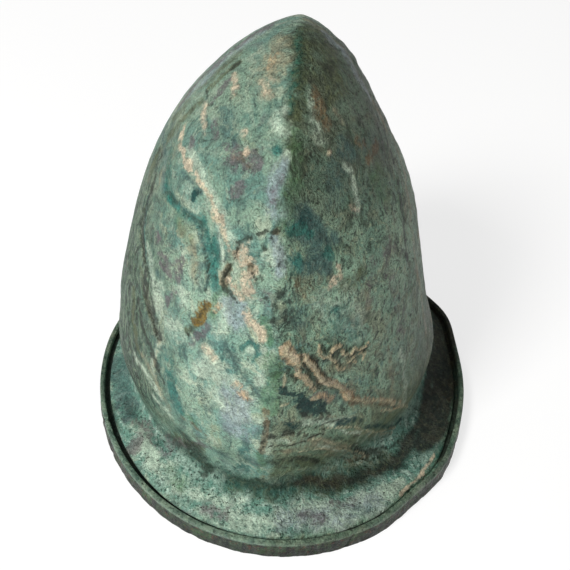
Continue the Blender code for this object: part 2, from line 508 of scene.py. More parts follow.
# %% [markdown]
# ## Wear and corrosion in the mesh
# A bump texture would light these marks well enough, but the outline, the side views and the mesh
# itself would stay smooth. So what stands out or sinks in on the real bronze moves the points along
# their normals: a broad unevenness from casting and hammering, a grain from corrosion, crusts and
# blisters of copper salts on the front, creases over the throat, cracks through the lip, and a ragged
# lower edge.

# %% List the crusts, blisters, dents and creases
# Lift is outward in millimetres, and half width and path are in picture pixels.
Relief = namedtuple("Relief", "lift half_width path")
RELIEFS = (
    Relief(1.5, 7, ((286, 350), (293, 356), (299, 365))),
    Relief(1.2, 4, ((298, 373), (306, 380), (316, 389))),
    Relief(2.0, 4.5, ((306, 358), (313, 368), (322, 380))),
    Relief(1.3, 5, ((323, 380), (333, 384))),
    Relief(1.3, 4, ((336, 386), (343, 390), (350, 398))),
    Relief(1.0, 5, ((350, 399), (362, 402), (378, 401), (396, 404), (408, 408))),
    Relief(0.9, 4, ((384, 411), (396, 409))),
    Relief(1.5, 4, ((318, 348), (320, 354), (325, 357), (331, 356), (333, 351))),
    Relief(1.6, 4, ((336, 346), (340, 348))),
    Relief(1.4, 3.5, ((342, 351), (346, 355), (351, 354), (355, 348), (361, 349), (367, 344))),
    Relief(1.3, 3.5, ((331, 359), (336, 364), (340, 369), (346, 368))),
    Relief(1.0, 3.5, ((349, 362), (354, 358), (357, 362))),
    Relief(0.9, 3, ((360, 355), (366, 352), (364, 360))),
    Relief(0.9, 5, ((286, 378), (284, 384))),
    Relief(0.8, 3, ((281, 406), (288, 404))),
    Relief(-0.5, 3, ((303, 356), (306, 368), (313, 378), (322, 388))),
    Relief(-0.6, 5, ((290, 372), (298, 380))),
    Relief(-0.5, 2.5, ((271, 448), (290, 447), (304, 443), (316, 437), (325, 435))),
    Relief(-0.5, 2.5, ((338, 439), (348, 442), (366, 449), (383, 450), (397, 442), (405, 432))),
    Relief(-0.5, 2.5, ((337, 459), (352, 461), (372, 459), (388, 453))),
    Relief(0.8, 3, ((300, 453), (322, 449), (345, 450), (366, 455))),
    Relief(-0.45, 2.2, ((283, 461), (301, 458), (317, 462), (330, 467))),
    Relief(-0.45, 2.2, ((300, 436), (315, 430), (331, 431))),
    Relief(0.7, 2.5, ((309, 440), (324, 441), (338, 446), (350, 448))),
    Relief(-0.4, 2.2, ((352, 437), (368, 441), (381, 441), (391, 436))),
    Relief(0.8, 3, ((330, 429), (352, 428), (378, 434), (396, 428))),
    Relief(-0.5, 2.5, ((284, 437), (300, 431), (318, 428), (340, 422))),
    Relief(-0.6, 2.5, ((142, 208), (138, 231), (141, 253), (147, 276), (143, 304), (151, 320), (156, 340))),
    Relief(-0.5, 2, ((202, 249), (206, 266), (205, 291))),
    Relief(-1.0, 11, ((165, 190), (182, 213), (200, 228), (209, 248), (212, 278))),
    Relief(0.5, 6, ((213, 214), (221, 236), (223, 262), (219, 284))),
    Relief(0.5, 6, ((176, 232), (190, 256), (194, 284))),
    Relief(0.6, 6, ((158, 344), (152, 366), (160, 396))),
    Relief(-0.6, 6, ((170, 352), (172, 384), (182, 412))),
    Relief(0.6, 9, ((206, 352), (214, 376), (224, 400))),
    Relief(-0.4, 5, ((222, 344), (233, 364), (248, 386), (258, 398))),
    Relief(0.5, 7, ((292, 420), (330, 418), (365, 416))),
    Relief(0.5, 5, ((300, 470), (340, 468), (380, 460))),
    Relief(0.5, 3, ((196, 180), (206, 192), (211, 202), (211, 217), (221, 224), (222, 236), (226, 244))),
    Relief(0.6, 6, ((244, 252), (250, 268), (232, 285), (243, 301))),
    Relief(0.4, 5, ((247, 314), (256, 329), (258, 340))),
    Relief(-0.35, 2, ((236, 250), (230, 265), (221, 283))),
    Relief(-0.7, 5, ((203, 306), (197, 318))),
    Relief(0.7, 3, ((330, 152),)),
    Relief(0.6, 3, ((342, 268), (341, 280))),
    Relief(-1.0, 30, ((385, 95), (395, 125))),
    Relief(0.8, 24, ((352, 52),)),
    Relief(-0.8, 28, ((165, 140), (150, 190))),
    Relief(0.9, 26, ((128, 262),)),
    Relief(-0.7, 22, ((121, 292), (112, 310))),
    Relief(-0.7, 34, ((330, 300),)),
    Relief(0.6, 30, ((380, 340),)),
    Relief(-0.6, 24, ((225, 400),)),
)

# Cracks run across the lip. Bearing is in degrees, width and depth in millimetres, and slant is how far
# the crack turns around the helmet from the lip's foot to its top, in degrees.
Crack = namedtuple("Crack", "bearing width depth slant")
CRACKS = (
    Crack(-68.0, 0.9, 1.3, 5.0),
    Crack(-59.5, 0.7, 0.9, -2.0),
    Crack(21.0, 0.7, 0.7, 3.0),
    Crack(66.0, 0.8, 0.8, -4.0),
    Crack(152.0, 0.9, 1.1, 4.0),
    Crack(-140.0, 0.8, 1.0, -3.0),
)
print(len(RELIEFS), "reliefs and", len(CRACKS), "cracks")

# %% Work out how far every outer point moves
grid = outside.shape[:2]
row_number = np.repeat(np.arange(grid[0]), grid[1])
point_angle = np.tile(angle, grid[0])
on_crown = np.clip((row_number - LIP_ROWS - BRIM_ROWS + 6) / 12, 0, 1)
on_brim = np.clip((row_number - LIP_ROWS) / 3, 0, 1) * (1 - on_crown)
on_lip = 1.0 * (row_number < LIP_ROWS)
rough_side = np.clip(0.5 + (skin_points[:, 0] + 0.006) / 0.012, 0, 1)

# Size is how far apart the bumps are in metres, stretch how much taller than wide they are, and lift
# how far they stand out in millimetres. From broad to fine: hammering, dents, pits, grain, and the
# coarser grain of the rough right side and of the smooth left side.
Bumps = namedtuple("Bumps", "size seed stretch lift")
BUMPS = (
    Bumps(0.0340, 1, 1.0, 0.40 * on_crown),
    Bumps(0.0130, 2, 1.0, 0.13 * (on_crown + 0.6 * on_brim)),
    Bumps(0.0055, 3, 1.0, 0.09 * (1 - 0.5 * on_lip)),
    Bumps(0.0026, 4, 1.6, 0.04 + 0.07 * rough_side * on_crown + 0.02 * on_brim),
    Bumps(0.0044, 41, 1.4, 0.24 * rough_side * on_crown),
    Bumps(0.0050, 43, 1.8, 0.07 * (1 - rough_side) * on_crown),
)
lift = np.zeros(len(skin_points))
for bumps in BUMPS:
    lift += bumps.lift * noise(skin_points, bumps.size, bumps.seed, (1, 1, bumps.stretch))

# A crust stands out more than this. It has a more even edge than a blister or a crease.
CRUST_LIFT = 0.85
CRUST_RAGGED = 0.28
BLISTER_RAGGED = 0.35
for relief in RELIEFS:
    ragged = CRUST_RAGGED if relief.lift > CRUST_LIFT else BLISTER_RAGGED
    lift += relief.lift * domed(closeness(relief.path, relief.half_width, ragged))

MILLIMETRE = 0.001
CRACK_WANDER = 0.008
height_share = np.clip(skin_points[:, 2] / LIP_HEIGHT, 0, 1)
for crack in CRACKS:
    slant = radians(crack.slant) * (height_share - 0.5)
    middle = radians(crack.bearing) + slant + CRACK_WANDER * wander[:, 0]
    away = np.abs(angle_from_front(point_angle - middle)) * RIM_WIDTH / 2 / MILLIMETRE
    lift -= crack.depth * np.exp(-(away / crack.width) ** 2) * on_lip

# The lip's lower edge is eaten away in bites, and the rest of the lip is worn back a little.
EDGE_HEIGHT = 0.005
EDGE_LOSS = 0.50
LIP_LOSS = 0.12
edge_wear = np.clip(1 - skin_points[:, 2] / EDGE_HEIGHT, 0, 1) * on_lip
lift -= EDGE_LOSS * np.clip(layered_noise(skin_points, 0.007, 5) + 0.3, 0, 1) * edge_wear
lift -= LIP_LOSS * (1 + noise(skin_points, 0.015, 6)) * on_lip * (1 - edge_wear)
print("points move from", round(lift.min(), 2), "to", round(lift.max(), 2), "mm")

# %% Move the points, and round the keel a little
# The lowest rows stay still, so that the foot stays flat. The keel is rounded by moving the points near
# it towards the mean of their neighbours, within a bell curve of the bearing in front and another one
# behind.
KEEL_WIDTH_FRONT = 0.018
KEEL_WIDTH_BACK = 0.020
KEEL_ROUNDS = 8
still = np.clip(row_number / 2, 0, 1)
worn = (skin_points + skin_normals * (lift * still * MILLIMETRE)[:, None]).reshape(outside.shape)
keel_near = np.exp(-(np.sin(angle / 2) / KEEL_WIDTH_FRONT) ** 2)
keel_near += np.exp(-(np.cos(angle / 2) / KEEL_WIDTH_BACK) ** 2)
for _ in range(KEEL_ROUNDS):
    mean = (np.roll(worn, 1, axis=1) + np.roll(worn, -1, axis=1)) / 2
    worn[LIP_ROWS:] += (keel_near[None, :, None] * (mean - worn) * 0.5)[LIP_ROWS:]
print("worn skin is", np.round(1000 * (worn.max(axis=(0, 1)) - worn.min(axis=(0, 1))), 1), "mm")

# %% [markdown]
# ## The patina as layers of pigment
# Corroded bronze isn't one green. Malachite, azurite, tin-grey, lime and soil lie in patches that break
# up towards their edges. Painting the final colour on the points would blur those edges to the spacing
# of the mesh. So the points only store how near each one is to a mark of a pigment, and the material
# multiplies that by noise and makes a soft cut through it. The edge is then as broken and as fine as
# the noise. A few pigments, such as the clay-coloured crusts, also stand out a little.

# %% Name the pigments
# Red, green and blue are from 0 to 255 as on a paint card. Ragged is how far noise moves an edge, soft
# how wide the edge is, cover how much of what is below gets hidden, and raised how far it stands out as
# a crust.
Pigment = namedtuple("Pigment", "name red green blue ragged soft cover raised")
PIGMENTS = (
    Pigment("khaki", 158, 154, 130, 1.2, 1.00, 0.72, 0.10),
    Pigment("moss", 88, 96, 68, 1.3, 0.80, 0.75, 0.00),
    Pigment("pale", 206, 222, 202, 1.3, 0.90, 0.70, 0.10),
    Pigment("teal", 58, 116, 108, 1.1, 0.80, 0.80, -0.10),
    Pigment("mist", 160, 174, 178, 1.2, 0.90, 0.70, 0.00),
    Pigment("mauve", 100, 90, 96, 1.6, 0.70, 0.70, 0.05),
    Pigment("slate", 76, 104, 100, 1.3, 0.90, 0.75, -0.05),
    Pigment("green", 88, 124, 88, 1.5, 1.00, 0.55, 0.10),
    Pigment("emerald", 44, 104, 92, 1.4, 0.80, 0.65, 0.00),
    # This brown is only painted shadow, under the crusts and blisters.
    Pigment("crust_shadow", 70, 58, 40, 1.4, 0.90, 0.65, -0.10),
    Pigment("clay", 210, 186, 154, 1.4, 0.70, 0.85, 0.40),
    # Besides its own patches, this peach paints highlights on the crust tops and along the brim's right
    # edge.
    Pigment("peach_and_highlight", 222, 206, 182, 1.5, 0.80, 0.78, 0.20),
    Pigment("rust", 122, 96, 68, 1.5, 0.80, 0.60, 0.10),
    Pigment("ochre", 126, 104, 54, 1.6, 0.80, 0.90, -0.10),
    Pigment("navy", 8, 56, 54, 1.6, 0.70, 0.92, -0.15),
    Pigment("dark", 36, 44, 34, 1.6, 0.70, 0.80, -0.25),
)
print(len(PIGMENTS), "pigments:", ", ".join(pigment.name for pigment in PIGMENTS))

# %% List the marks
# A row is one stroke: how solid it is, its half width and its path, which are both in picture pixels.
# Each pigment's strokes go from the top of the helmet down.
MARKS = {
    "khaki": (
        # Painted sheen along the crown's outline, top right.
        (0.6, 6, ((306, 18), (330, 33), (345, 48), (357, 70), (374, 98), (388, 126))),
        (0.75, 15, ((284, 40), (273, 54), (270, 72))),
        (0.6, 11, ((258, 58), (262, 78), (264, 94))),
        (0.6, 3, ((336, 108), (343, 120))),
        # Painted sheen along the crown's right outline.
        (0.6, 5, ((395, 134), (406, 170), (412, 212), (418, 258))),
        (0.5, 6, ((158, 178), (172, 150))),
        (0.6, 8, ((180, 228), (190, 246), (194, 276))),
        # Painted sheen along the crown's right outline.
        (0.6, 5, ((419, 268), (424, 300), (428, 335))),
        (0.5, 5, ((366, 290), (372, 308))),
        (0.6, 5, ((112, 350), (116, 330))),
        (0.5, 4, ((390, 346), (394, 376), (392, 400))),
        (0.6, 4, ((140, 355), (150, 374), (168, 410))),
        (0.6, 12, ((340, 362), (356, 358))),
        (0.7, 4, ((351, 384), (353, 394), (356, 404))),
        (0.7, 4, ((348, 400), (362, 402), (378, 401), (396, 403), (408, 406))),
        (0.7, 2.5, ((352, 432), (374, 437), (394, 433))),
        (0.5, 8, ((288, 440), (325, 445), (360, 455))),
        (0.7, 2.5, ((292, 444), (312, 441), (336, 443), (356, 449))),
        (0.6, 4, ((285, 453), (310, 448), (330, 450), (352, 456))),
        (0.6, 2.5, ((300, 458), (330, 456), (352, 462))),
    ),
    "moss": (
        (0.8, 8, ((304, 26), (304, 64), (301, 92), (299, 118))),
        (0.7, 22, ((322, 40), (330, 75))),
        (0.6, 7, ((172, 118), (190, 96), (212, 74), (238, 52))),
        (1.0, 4, ((238, 61), (224, 73), (207, 88))),
        (0.7, 5, ((199, 100), (178, 120), (170, 132))),
        (0.8, 6, ((147, 176), (156, 152), (168, 132))),
        (0.4, 5, ((292, 140), (290, 170), (288, 195))),
        (0.9, 4, ((139, 270), (141, 290), (148, 316))),
        (0.8, 9, ((345, 290), (360, 277))),
        (0.8, 4, ((132, 290), (131, 320), (136, 352))),
        (1.0, 4, ((196, 322), (186, 334))),
        (0.8, 4, ((437, 375), (455, 405), (452, 380))),
        (0.8, 9, ((172, 438), (186, 444), (198, 448))),
        (0.5, 11, ((296, 476), (330, 474), (362, 470), (385, 462))),
        (0.6, 8, ((290, 462), (330, 466), (368, 464))),
        (0.6, 12, ((232, 486), (262, 492), (300, 490), (345, 482))),
    ),
    "pale": (
        (0.6, 4, ((312, 94), (314, 112), (320, 130))),
        (0.8, 6, ((286, 108),)),
        (0.6, 9, ((274, 121), (282, 132))),
        (0.4, 7, ((316, 128), (322, 140))),
        (0.9, 6, ((187, 150), (205, 185), (216, 210), (228, 240))),
        (0.9, 6, ((282, 157),)),
        (0.7, 3.5, ((346, 165), (354, 174))),
        (0.8, 4, ((354, 174), (357, 192), (362, 212))),
        (0.7, 8, ((196, 214), (190, 200), (186, 190))),
        (0.8, 2.5, ((216, 228), (221, 248), (222, 268), (219, 284))),
        (0.5, 6, ((145, 246), (150, 262), (152, 282))),
        # A painted highlight on the keel.
        (0.8, 8, ((268, 262), (276, 256))),
        (0.5, 9, ((238, 276), (248, 298))),
        (0.8, 12, ((155, 290), (158, 310), (175, 330))),
        (0.7, 7, ((178, 290), (184, 304))),
        (0.7, 7, ((222, 300), (226, 322), (214, 336))),
        (0.45, 26, ((340, 306), (355, 326))),
        (0.6, 4, ((160, 340), (152, 356), (150, 372))),
        (0.5, 4, ((402, 350), (408, 380), (406, 404))),
        (0.9, 5, ((249, 352),)),
        (0.8, 5, ((263, 352), (262, 372), (258, 384))),
        (0.8, 9, ((208, 356), (198, 370))),
        (0.7, 5, ((132, 357), (148, 380), (160, 398))),
        (1.0, 14, ((209, 364), (222, 380))),
        (0.6, 6, ((153, 399), (168, 414))),
        (1.0, 14, ((218, 400), (236, 412))),
        (0.6, 5, ((306, 420), (330, 424), (352, 420))),
        (1.1, 2, ((305, 426), (320, 424), (336, 427))),
        (0.8, 9, ((134, 424), (146, 444))),
        (1.1, 2, ((342, 432), (352, 434), (362, 433))),
        (0.5, 4, ((372, 433), (364, 443))),
        (1.1, 1.5, ((361, 434), (358, 446))),
        (1.0, 1.5, ((378, 436), (376, 444))),
        (1.0, 2, ((270, 442), (280, 441), (292, 443))),
        (1.0, 2, ((318, 447), (332, 449), (346, 454))),
        (1.1, 10, ((143, 448), (160, 466), (182, 482))),
        (1.3, 4.5, ((400, 481), (392, 487), (386, 494))),
        (0.6, 10, ((180, 486), (205, 498), (235, 506))),
        (0.8, 8, ((390, 490), (378, 497), (366, 502))),
        (1.4, 12, ((300, 516), (340, 513), (372, 502))),
        (0.6, 4, ((196, 508), (220, 520), (250, 530), (280, 535))),
        (0.9, 9, ((232, 518), (258, 522), (284, 515))),
    ),
    "teal": (
        (0.9, 6, ((274, 152),)),
        (0.8, 6, ((164, 182), (168, 200), (181, 214), (196, 226))),
        (0.5, 8, ((184, 190), (196, 204))),
        (0.7, 3, ((146, 196), (142, 230), (144, 262))),
        (0.9, 9, ((200, 222), (208, 238), (212, 258), (213, 280))),
        (0.9, 8, ((294, 262), (300, 270))),
        (0.5, 18, ((336, 318), (352, 334))),
        (0.8, 3, ((240, 350), (246, 342), (255, 345), (259, 354), (252, 361))),
        (0.8, 8, ((167, 364), (174, 396), (181, 413))),
        (0.6, 6, ((116, 452), (126, 466), (135, 478))),
        (0.4, 8, ((166, 470), (190, 484))),
        (0.5, 9, ((228, 482), (256, 490), (292, 492))),
    ),
    "mist": (
        # Painted sheen along the crown's outline, top right.
        (0.8, 6, ((325, 31), (345, 50), (356, 70), (372, 96))),
        # Painted sheen along the crown's outline, top left.
        (0.6, 8, ((190, 92), (222, 58), (256, 34))),
        (0.9, 10, ((277, 172), (273, 195), (276, 216))),
        # A painted highlight on the keel.
        (0.9, 7, ((273, 244), (279, 258), (277, 272))),
        (0.9, 13, ((232, 306), (236, 320))),
        (0.9, 17, ((238, 400), (232, 428))),
        (0.6, 13, ((288, 520), (320, 518), (352, 510), (378, 500))),
    ),
    "mauve": (
        # Painted sheen along the crown's outline, top left.
        (0.7, 8, ((182, 98), (206, 70), (240, 42), (268, 24))),
        (0.8, 5, ((227, 84), (211, 99))),
        (0.7, 5, ((213, 120), (215, 137))),
        (0.9, 4, ((189, 147), (191, 136))),
        (1.0, 5, ((234, 140), (238, 146))),
        (1.0, 5, ((226, 146), (231, 152))),
        (0.5, 14, ((234, 150), (246, 162))),
        (1.1, 5, ((253, 156), (258, 163))),
        (1.0, 5, ((230, 160), (238, 158))),
        (1.0, 5, ((242, 164), (248, 168))),
        (1.0, 4, ((258, 167), (252, 171))),
        (0.5, 8, ((277, 180), (274, 205))),
        (0.9, 8, ((240, 186), (234, 194))),
        (0.9, 5, ((156, 236), (160, 244))),
        (0.5, 9, ((390, 240), (392, 275), (400, 300), (405, 332))),
        (0.5, 12, ((158, 242), (168, 268))),
        (0.9, 5, ((158, 252), (164, 258))),
        (1.0, 4, ((174, 262), (181, 258))),
        (0.8, 5, ((181, 259), (176, 276))),
        (0.4, 8, ((372, 262), (372, 300))),
        (1.0, 5, ((160, 268), (168, 275))),
        (0.9, 5, ((172, 292), (167, 304))),
        (0.5, 7, ((268, 292), (262, 304))),
        (0.7, 5, ((206, 328), (190, 344))),
        (0.6, 7, ((320, 396), (330, 400))),
        (0.6, 6, ((120, 398), (130, 414))),
        (0.6, 7, ((128, 402), (138, 420), (152, 436), (172, 450))),
        (0.7, 9, ((168, 440), (186, 446), (203, 446))),
        (1.0, 7, ((133, 441), (135, 447))),
        (0.8, 7, ((448, 456), (438, 470), (425, 487))),
        (0.6, 7, ((334, 500), (352, 503))),
        (0.8, 8, ((205, 506), (218, 510))),
        (0.6, 7, ((306, 516), (322, 520))),
    ),
    "slate": (
        (0.6, 10, ((225, 110), (231, 135))),
        (0.8, 4, ((160, 130), (163, 160), (161, 190))),
        (0.5, 9, ((339, 147), (354, 156))),
        (0.5, 13, ((334, 168), (338, 198))),
        (1.0, 3, ((181, 172), (190, 183), (199, 192))),
        (0.5, 2.5, ((168, 186), (174, 202), (188, 216), (200, 232))),
        (1.3, 16, ((304, 222), (320, 238))),
        (0.9, 2.5, ((197, 236), (203, 252), (206, 268), (205, 290))),
        (1.3, 15, ((325, 240), (322, 264))),
        (0.9, 4, ((156, 274), (161, 277))),
        (0.8, 4, ((158, 275),)),
        (0.5, 14, ((290, 300), (300, 322))),
        (1.0, 3, ((221, 340), (226, 352))),
        (0.7, 3, ((228, 356), (236, 368), (246, 382), (257, 395))),
        (1.1, 10, ((116, 362), (121, 388), (132, 408))),
        (0.5, 7, ((330, 396), (345, 404))),
        (0.6, 8, ((212, 452), (228, 462))),
        (0.5, 6, ((356, 512), (370, 508))),
    ),
    "green": (
        (0.5, 10, ((296, 135), (296, 165), (293, 196))),
        (0.6, 12, ((378, 172), (388, 200))),
        (0.7, 7, ((399, 176), (403, 215))),
        (0.7, 8, ((285, 208), (287, 228))),
        (0.4, 9, ((176, 222), (186, 236))),
        (0.5, 6, ((212, 300), (222, 292))),
        (0.8, 5, ((215, 297), (211, 318))),
        (0.9, 5, ((263, 322), (268, 345))),
        (1.3, 8, ((272, 360), (271, 385), (269, 412))),
        (1.3, 5, ((268, 395), (268, 412))),
        (0.8, 5, ((188, 417), (194, 424))),
        (0.8, 5, ((259, 457), (260, 474))),
        (0.6, 6, ((172, 470), (182, 478))),
        (0.8, 6, ((176, 478), (184, 484))),
        (0.7, 4, ((348, 528), (316, 542), (352, 534))),
    ),
    "emerald": (
        (0.5, 5, ((298, 29), (297, 64), (291, 89), (291, 111))),
        (0.7, 6, ((169, 150), (166, 176), (168, 196))),
        (0.45, 6, ((204, 226), (212, 244), (214, 264))),
        (1.4, 6, ((293, 232), (301, 228))),
        (1.4, 5, ((311, 234),)),
        (1.4, 5, ((326, 250), (334, 256))),
        (0.8, 5, ((450, 436), (445, 448), (430, 469))),
    ),
    "crust_shadow": (
        # Each stroke is a painted shadow, just below and to the right of a crust or blister.
        (0.45, 4, ((345, 356), (351, 358), (357, 352), (366, 348))),
        (0.45, 4, ((338, 352), (341, 353))),
        (0.4, 7, ((288, 353), (296, 361), (302, 369))),
        (0.45, 4, ((319, 353), (324, 357), (331, 358))),
        (0.4, 6, ((309, 361), (317, 372), (326, 383))),
        (0.45, 4, ((334, 362), (341, 370), (346, 372))),
        (0.4, 5, ((301, 377), (309, 384), (318, 391))),
        (0.5, 5, ((326, 385), (338, 389), (346, 394), (353, 402))),
    ),
    "clay": (
        (0.35, 8, ((272, 56), (268, 66))),
        (0.35, 4, ((318, 98), (322, 110))),
        (0.8, 4, ((214, 311), (219, 306))),
        (0.9, 2, ((342, 351), (346, 355), (351, 354), (355, 348), (361, 349), (367, 344))),
        (0.6, 2, ((368, 349), (371, 344))),
        (1.1, 2.5, ((336, 346), (340, 348))),
        (1.0, 2.2, ((318, 348), (320, 354), (325, 357), (331, 356), (333, 351))),
        (1.2, 6.5, ((286, 350), (293, 356), (299, 365))),
        (0.6, 1.8, ((360, 355), (366, 352), (364, 360))),
        (1.2, 4, ((306, 358), (313, 368), (322, 380))),
        (0.8, 1.8, ((349, 362), (354, 358), (357, 362))),
        (0.9, 2, ((331, 359), (336, 364), (340, 369), (346, 368))),
        (0.9, 3, ((298, 373), (306, 380), (316, 389))),
        (1.1, 4, ((322, 380), (334, 384), (342, 389), (350, 398))),
        (0.5, 8, ((236, 388), (245, 398))),
        (0.9, 1.6, ((352, 392), (354, 400), (370, 399), (388, 401), (402, 403))),
        (0.5, 7, ((318, 398), (330, 400))),
        (0.9, 1.6, ((384, 410), (394, 411), (400, 408))),
    ),
    "peach_and_highlight": (
        (0.6, 5, ((235, 74), (234, 90))),
        (0.5, 5, ((269, 81),)),
        (0.5, 8, ((262, 88), (264, 96))),
        (0.5, 4, ((204, 100), (202, 112), (202, 132))),
        (1.1, 3, ((181, 127), (178, 144), (184, 163), (197, 179), (208, 195))),
        (0.7, 5, ((243, 132),)),
        (0.8, 3.5, ((330, 152),)),
        (1.0, 5, ((246, 153),)),
        (0.8, 4.5, ((183, 158), (192, 172), (201, 184))),
        (0.8, 3, ((208, 195), (211, 206), (212, 217), (220, 222))),
        (0.5, 3, ((352, 208), (361, 211))),
        (0.9, 3.5, ((214, 214), (221, 223), (222, 232))),
        (0.6, 2.5, ((222, 232), (225, 242), (228, 250))),
        (1.0, 9, ((241, 250), (245, 264))),
        (0.8, 6, ((250, 262), (252, 270))),
        (0.9, 4.5, ((342, 266), (341, 280), (333, 286))),
        (0.9, 9, ((246, 279), (250, 290))),
        (0.8, 5, ((228, 281), (233, 290), (240, 299))),
        (0.9, 6, ((247, 315), (254, 326), (259, 338))),
        # The next two strokes are painted highlights on the top of the first crust.
        (1.2, 2.5, ((284, 347), (292, 353), (297, 360))),
        (1.2, 2, ((289, 349), (296, 354), (300, 361))),
        (0.6, 6, ((203, 352), (213, 358))),
        # These four strokes are painted highlights on the tops of the lower crusts.
        (0.9, 2.5, ((305, 356), (311, 365), (320, 376))),
        (0.7, 2.5, ((297, 371), (306, 378), (315, 387))),
        (1.4, 3.5, ((321, 379), (328, 382), (334, 383))),
        (1.2, 2, ((336, 384), (345, 388), (352, 394))),
        # A painted highlight along the lit edge of the brim on the right.
        (1.3, 1.3, ((434, 455), (426, 467), (415, 480), (401, 494))),
    ),
    "rust": (
        (0.9, 7, ((319, 98), (323, 112), (326, 120))),
        (0.7, 5, ((359, 138), (366, 146))),
        (0.7, 5, ((378, 142), (370, 160))),
        (0.35, 7, ((236, 154), (246, 162))),
        (0.7, 3, ((276, 230), (280, 236))),
        (0.7, 3, ((272, 233), (280, 234))),
        (0.7, 5, ((237, 248), (231, 261), (226, 271), (222, 284))),
        (0.8, 4, ((246, 264), (253, 270))),
        (0.35, 10, ((301, 284), (312, 300))),
        (0.8, 4, ((206, 303),)),
        (0.6, 5, ((352, 400), (372, 403), (398, 405))),
        (0.5, 3, ((350, 405), (366, 406), (384, 405), (398, 408))),
        (1.2, 3.5, ((264, 412), (265, 432), (262, 456))),
        (0.5, 4, ((183, 420), (205, 436))),
        (0.6, 4, ((350, 461), (368, 458))),
        (0.8, 3, ((262, 479),)),
        (0.7, 4, ((262, 554), (282, 555), (304, 553))),
    ),
    "ochre": (
        (1.2, 6, ((206, 304), (201, 312), (195, 321))),
    ),
    "navy": (
        (0.9, 5, ((193, 196),)),
        (0.4, 14, ((303, 216), (322, 240), (320, 262))),
        (0.35, 2.5, ((204, 232), (210, 250), (213, 272))),
        (1.4, 8, ((287, 386), (296, 398), (308, 408), (320, 412))),
        (0.6, 6, ((285, 420), (296, 428))),
        (0.8, 4, ((341, 424), (352, 421), (362, 423))),
        (0.9, 4, ((369, 428), (380, 427), (390, 429), (400, 423))),
        (0.6, 4, ((352, 449), (366, 453))),
    ),
    "dark": (
        (0.35, 3, ((300, 28), (301, 64), (298, 92), (296, 116))),
        (0.4, 18, ((316, 34), (322, 60), (318, 84))),
        (0.6, 3, ((239, 61), (226, 72))),
        (0.7, 2.5, ((253, 76), (257, 72), (262, 73))),
        (0.7, 2.5, ((271, 73), (276, 77))),
        (0.6, 2.5, ((205, 88), (208, 102), (214, 110))),
        (0.6, 4, ((386, 128), (398, 170), (404, 212), (409, 260))),
        (0.6, 5, ((157, 150), (150, 185))),
        (0.7, 3, ((150, 186), (153, 170), (160, 150))),
        (0.8, 4, ((150, 184), (145, 204), (141, 230), (142, 256), (143, 280))),
        (0.9, 2, ((256, 236), (264, 232), (279, 232))),
        (1.0, 2, ((234, 243), (240, 240), (249, 239))),
        (0.8, 2.5, ((270, 240), (273, 243))),
        (0.9, 1.6, ((239, 243), (236, 252), (231, 262), (226, 270), (221, 280), (223, 290))),
        (0.7, 2.5, ((281, 243), (284, 246))),
        (0.7, 2, ((276, 246), (281, 254), (280, 264))),
        (0.8, 2.5, ((262, 247), (263, 250))),
        (0.7, 2.5, ((266, 262), (267, 266))),
        (0.7, 2.5, ((283, 262), (281, 268))),
        (0.6, 3, ((229, 266), (225, 272))),
        (0.6, 3, ((248, 266), (253, 269))),
        (0.8, 2, ((252, 275), (256, 283), (255, 290))),
        (0.7, 2.5, ((259, 276), (260, 281))),
        (1.0, 7, ((143, 284), (146, 304), (152, 322), (156, 338))),
        (0.8, 3, ((221, 285), (224, 292), (233, 298))),
        (0.8, 2, ((222, 291), (229, 297), (238, 303))),
        (0.8, 2, ((262, 296), (268, 302), (271, 312))),
        (0.7, 3.5, ((271, 298), (273, 312), (272, 328))),
        (0.5, 13, ((284, 298), (292, 312), (284, 330))),
        (0.8, 3, ((136, 300), (140, 326), (150, 350), (158, 372))),
        (0.7, 3, ((126, 322), (128, 346), (134, 372), (142, 396))),
        (0.7, 3, ((190, 328), (186, 336))),
        (0.8, 2.5, ((148, 352), (156, 368), (163, 384))),
        (0.65, 4, ((335, 408), (345, 411))),
        (0.65, 4, ((301, 415), (314, 417), (330, 414))),
        (0.7, 4, ((318, 421), (330, 419))),
        (0.7, 2.5, ((262, 420), (262, 440), (260, 456))),
        # Painted shade in a crease of the throat.
        (0.6, 2, ((348, 442), (366, 449), (383, 450), (397, 442), (405, 432))),
        (0.75, 4.5, ((274, 437), (286, 434), (300, 435))),
        # Painted shade in a crease of the throat.
        (0.6, 2, ((271, 448), (290, 447), (304, 443), (316, 437), (325, 435))),
        (0.8, 8, ((186, 446), (198, 460), (208, 470))),
        (0.7, 4.5, ((345, 449), (362, 453), (380, 453))),
        # Painted shade in a crease of the throat.
        (0.5, 2, ((337, 459), (352, 461), (372, 459))),
        (0.75, 4.5, ((284, 463), (301, 460), (318, 463))),
        (0.6, 4, ((273, 462), (284, 470))),
        (1.0, 4, ((258, 482), (264, 481))),
    ),
}
print(sum(len(strokes) for strokes in MARKS.values()), "marks")

# %% Measure the marks on the skin
# Ragged is how far the edge of a mark wanders, as a share of its half width.
MARK_SPREAD = 1.5
MARK_FULLNESS = 1.4
USUAL_RAGGED = 0.40
MARK_RAGGED = {"crust_shadow": 0.50, "peach_and_highlight": 0.50, "navy": 0.70, "mauve": 0.60}
names = [pigment.name for pigment in PIGMENTS]
cover = np.zeros((len(PIGMENTS), len(skin_points)))
for which, name in enumerate(names):
    ragged = MARK_RAGGED.get(name, USUAL_RAGGED)
    for strength, half_width, path in MARKS[name]:
        near = np.clip(MARK_FULLNESS * closeness(path, MARK_SPREAD * half_width, ragged), 0, 1)
        cover[which] = np.maximum(cover[which], strength * near)
print("share of the skin under each pigment:",
      ", ".join(f"{name} {amount:.2f}" for name, amount in zip(names, (cover > 0.5).mean(axis=1))))

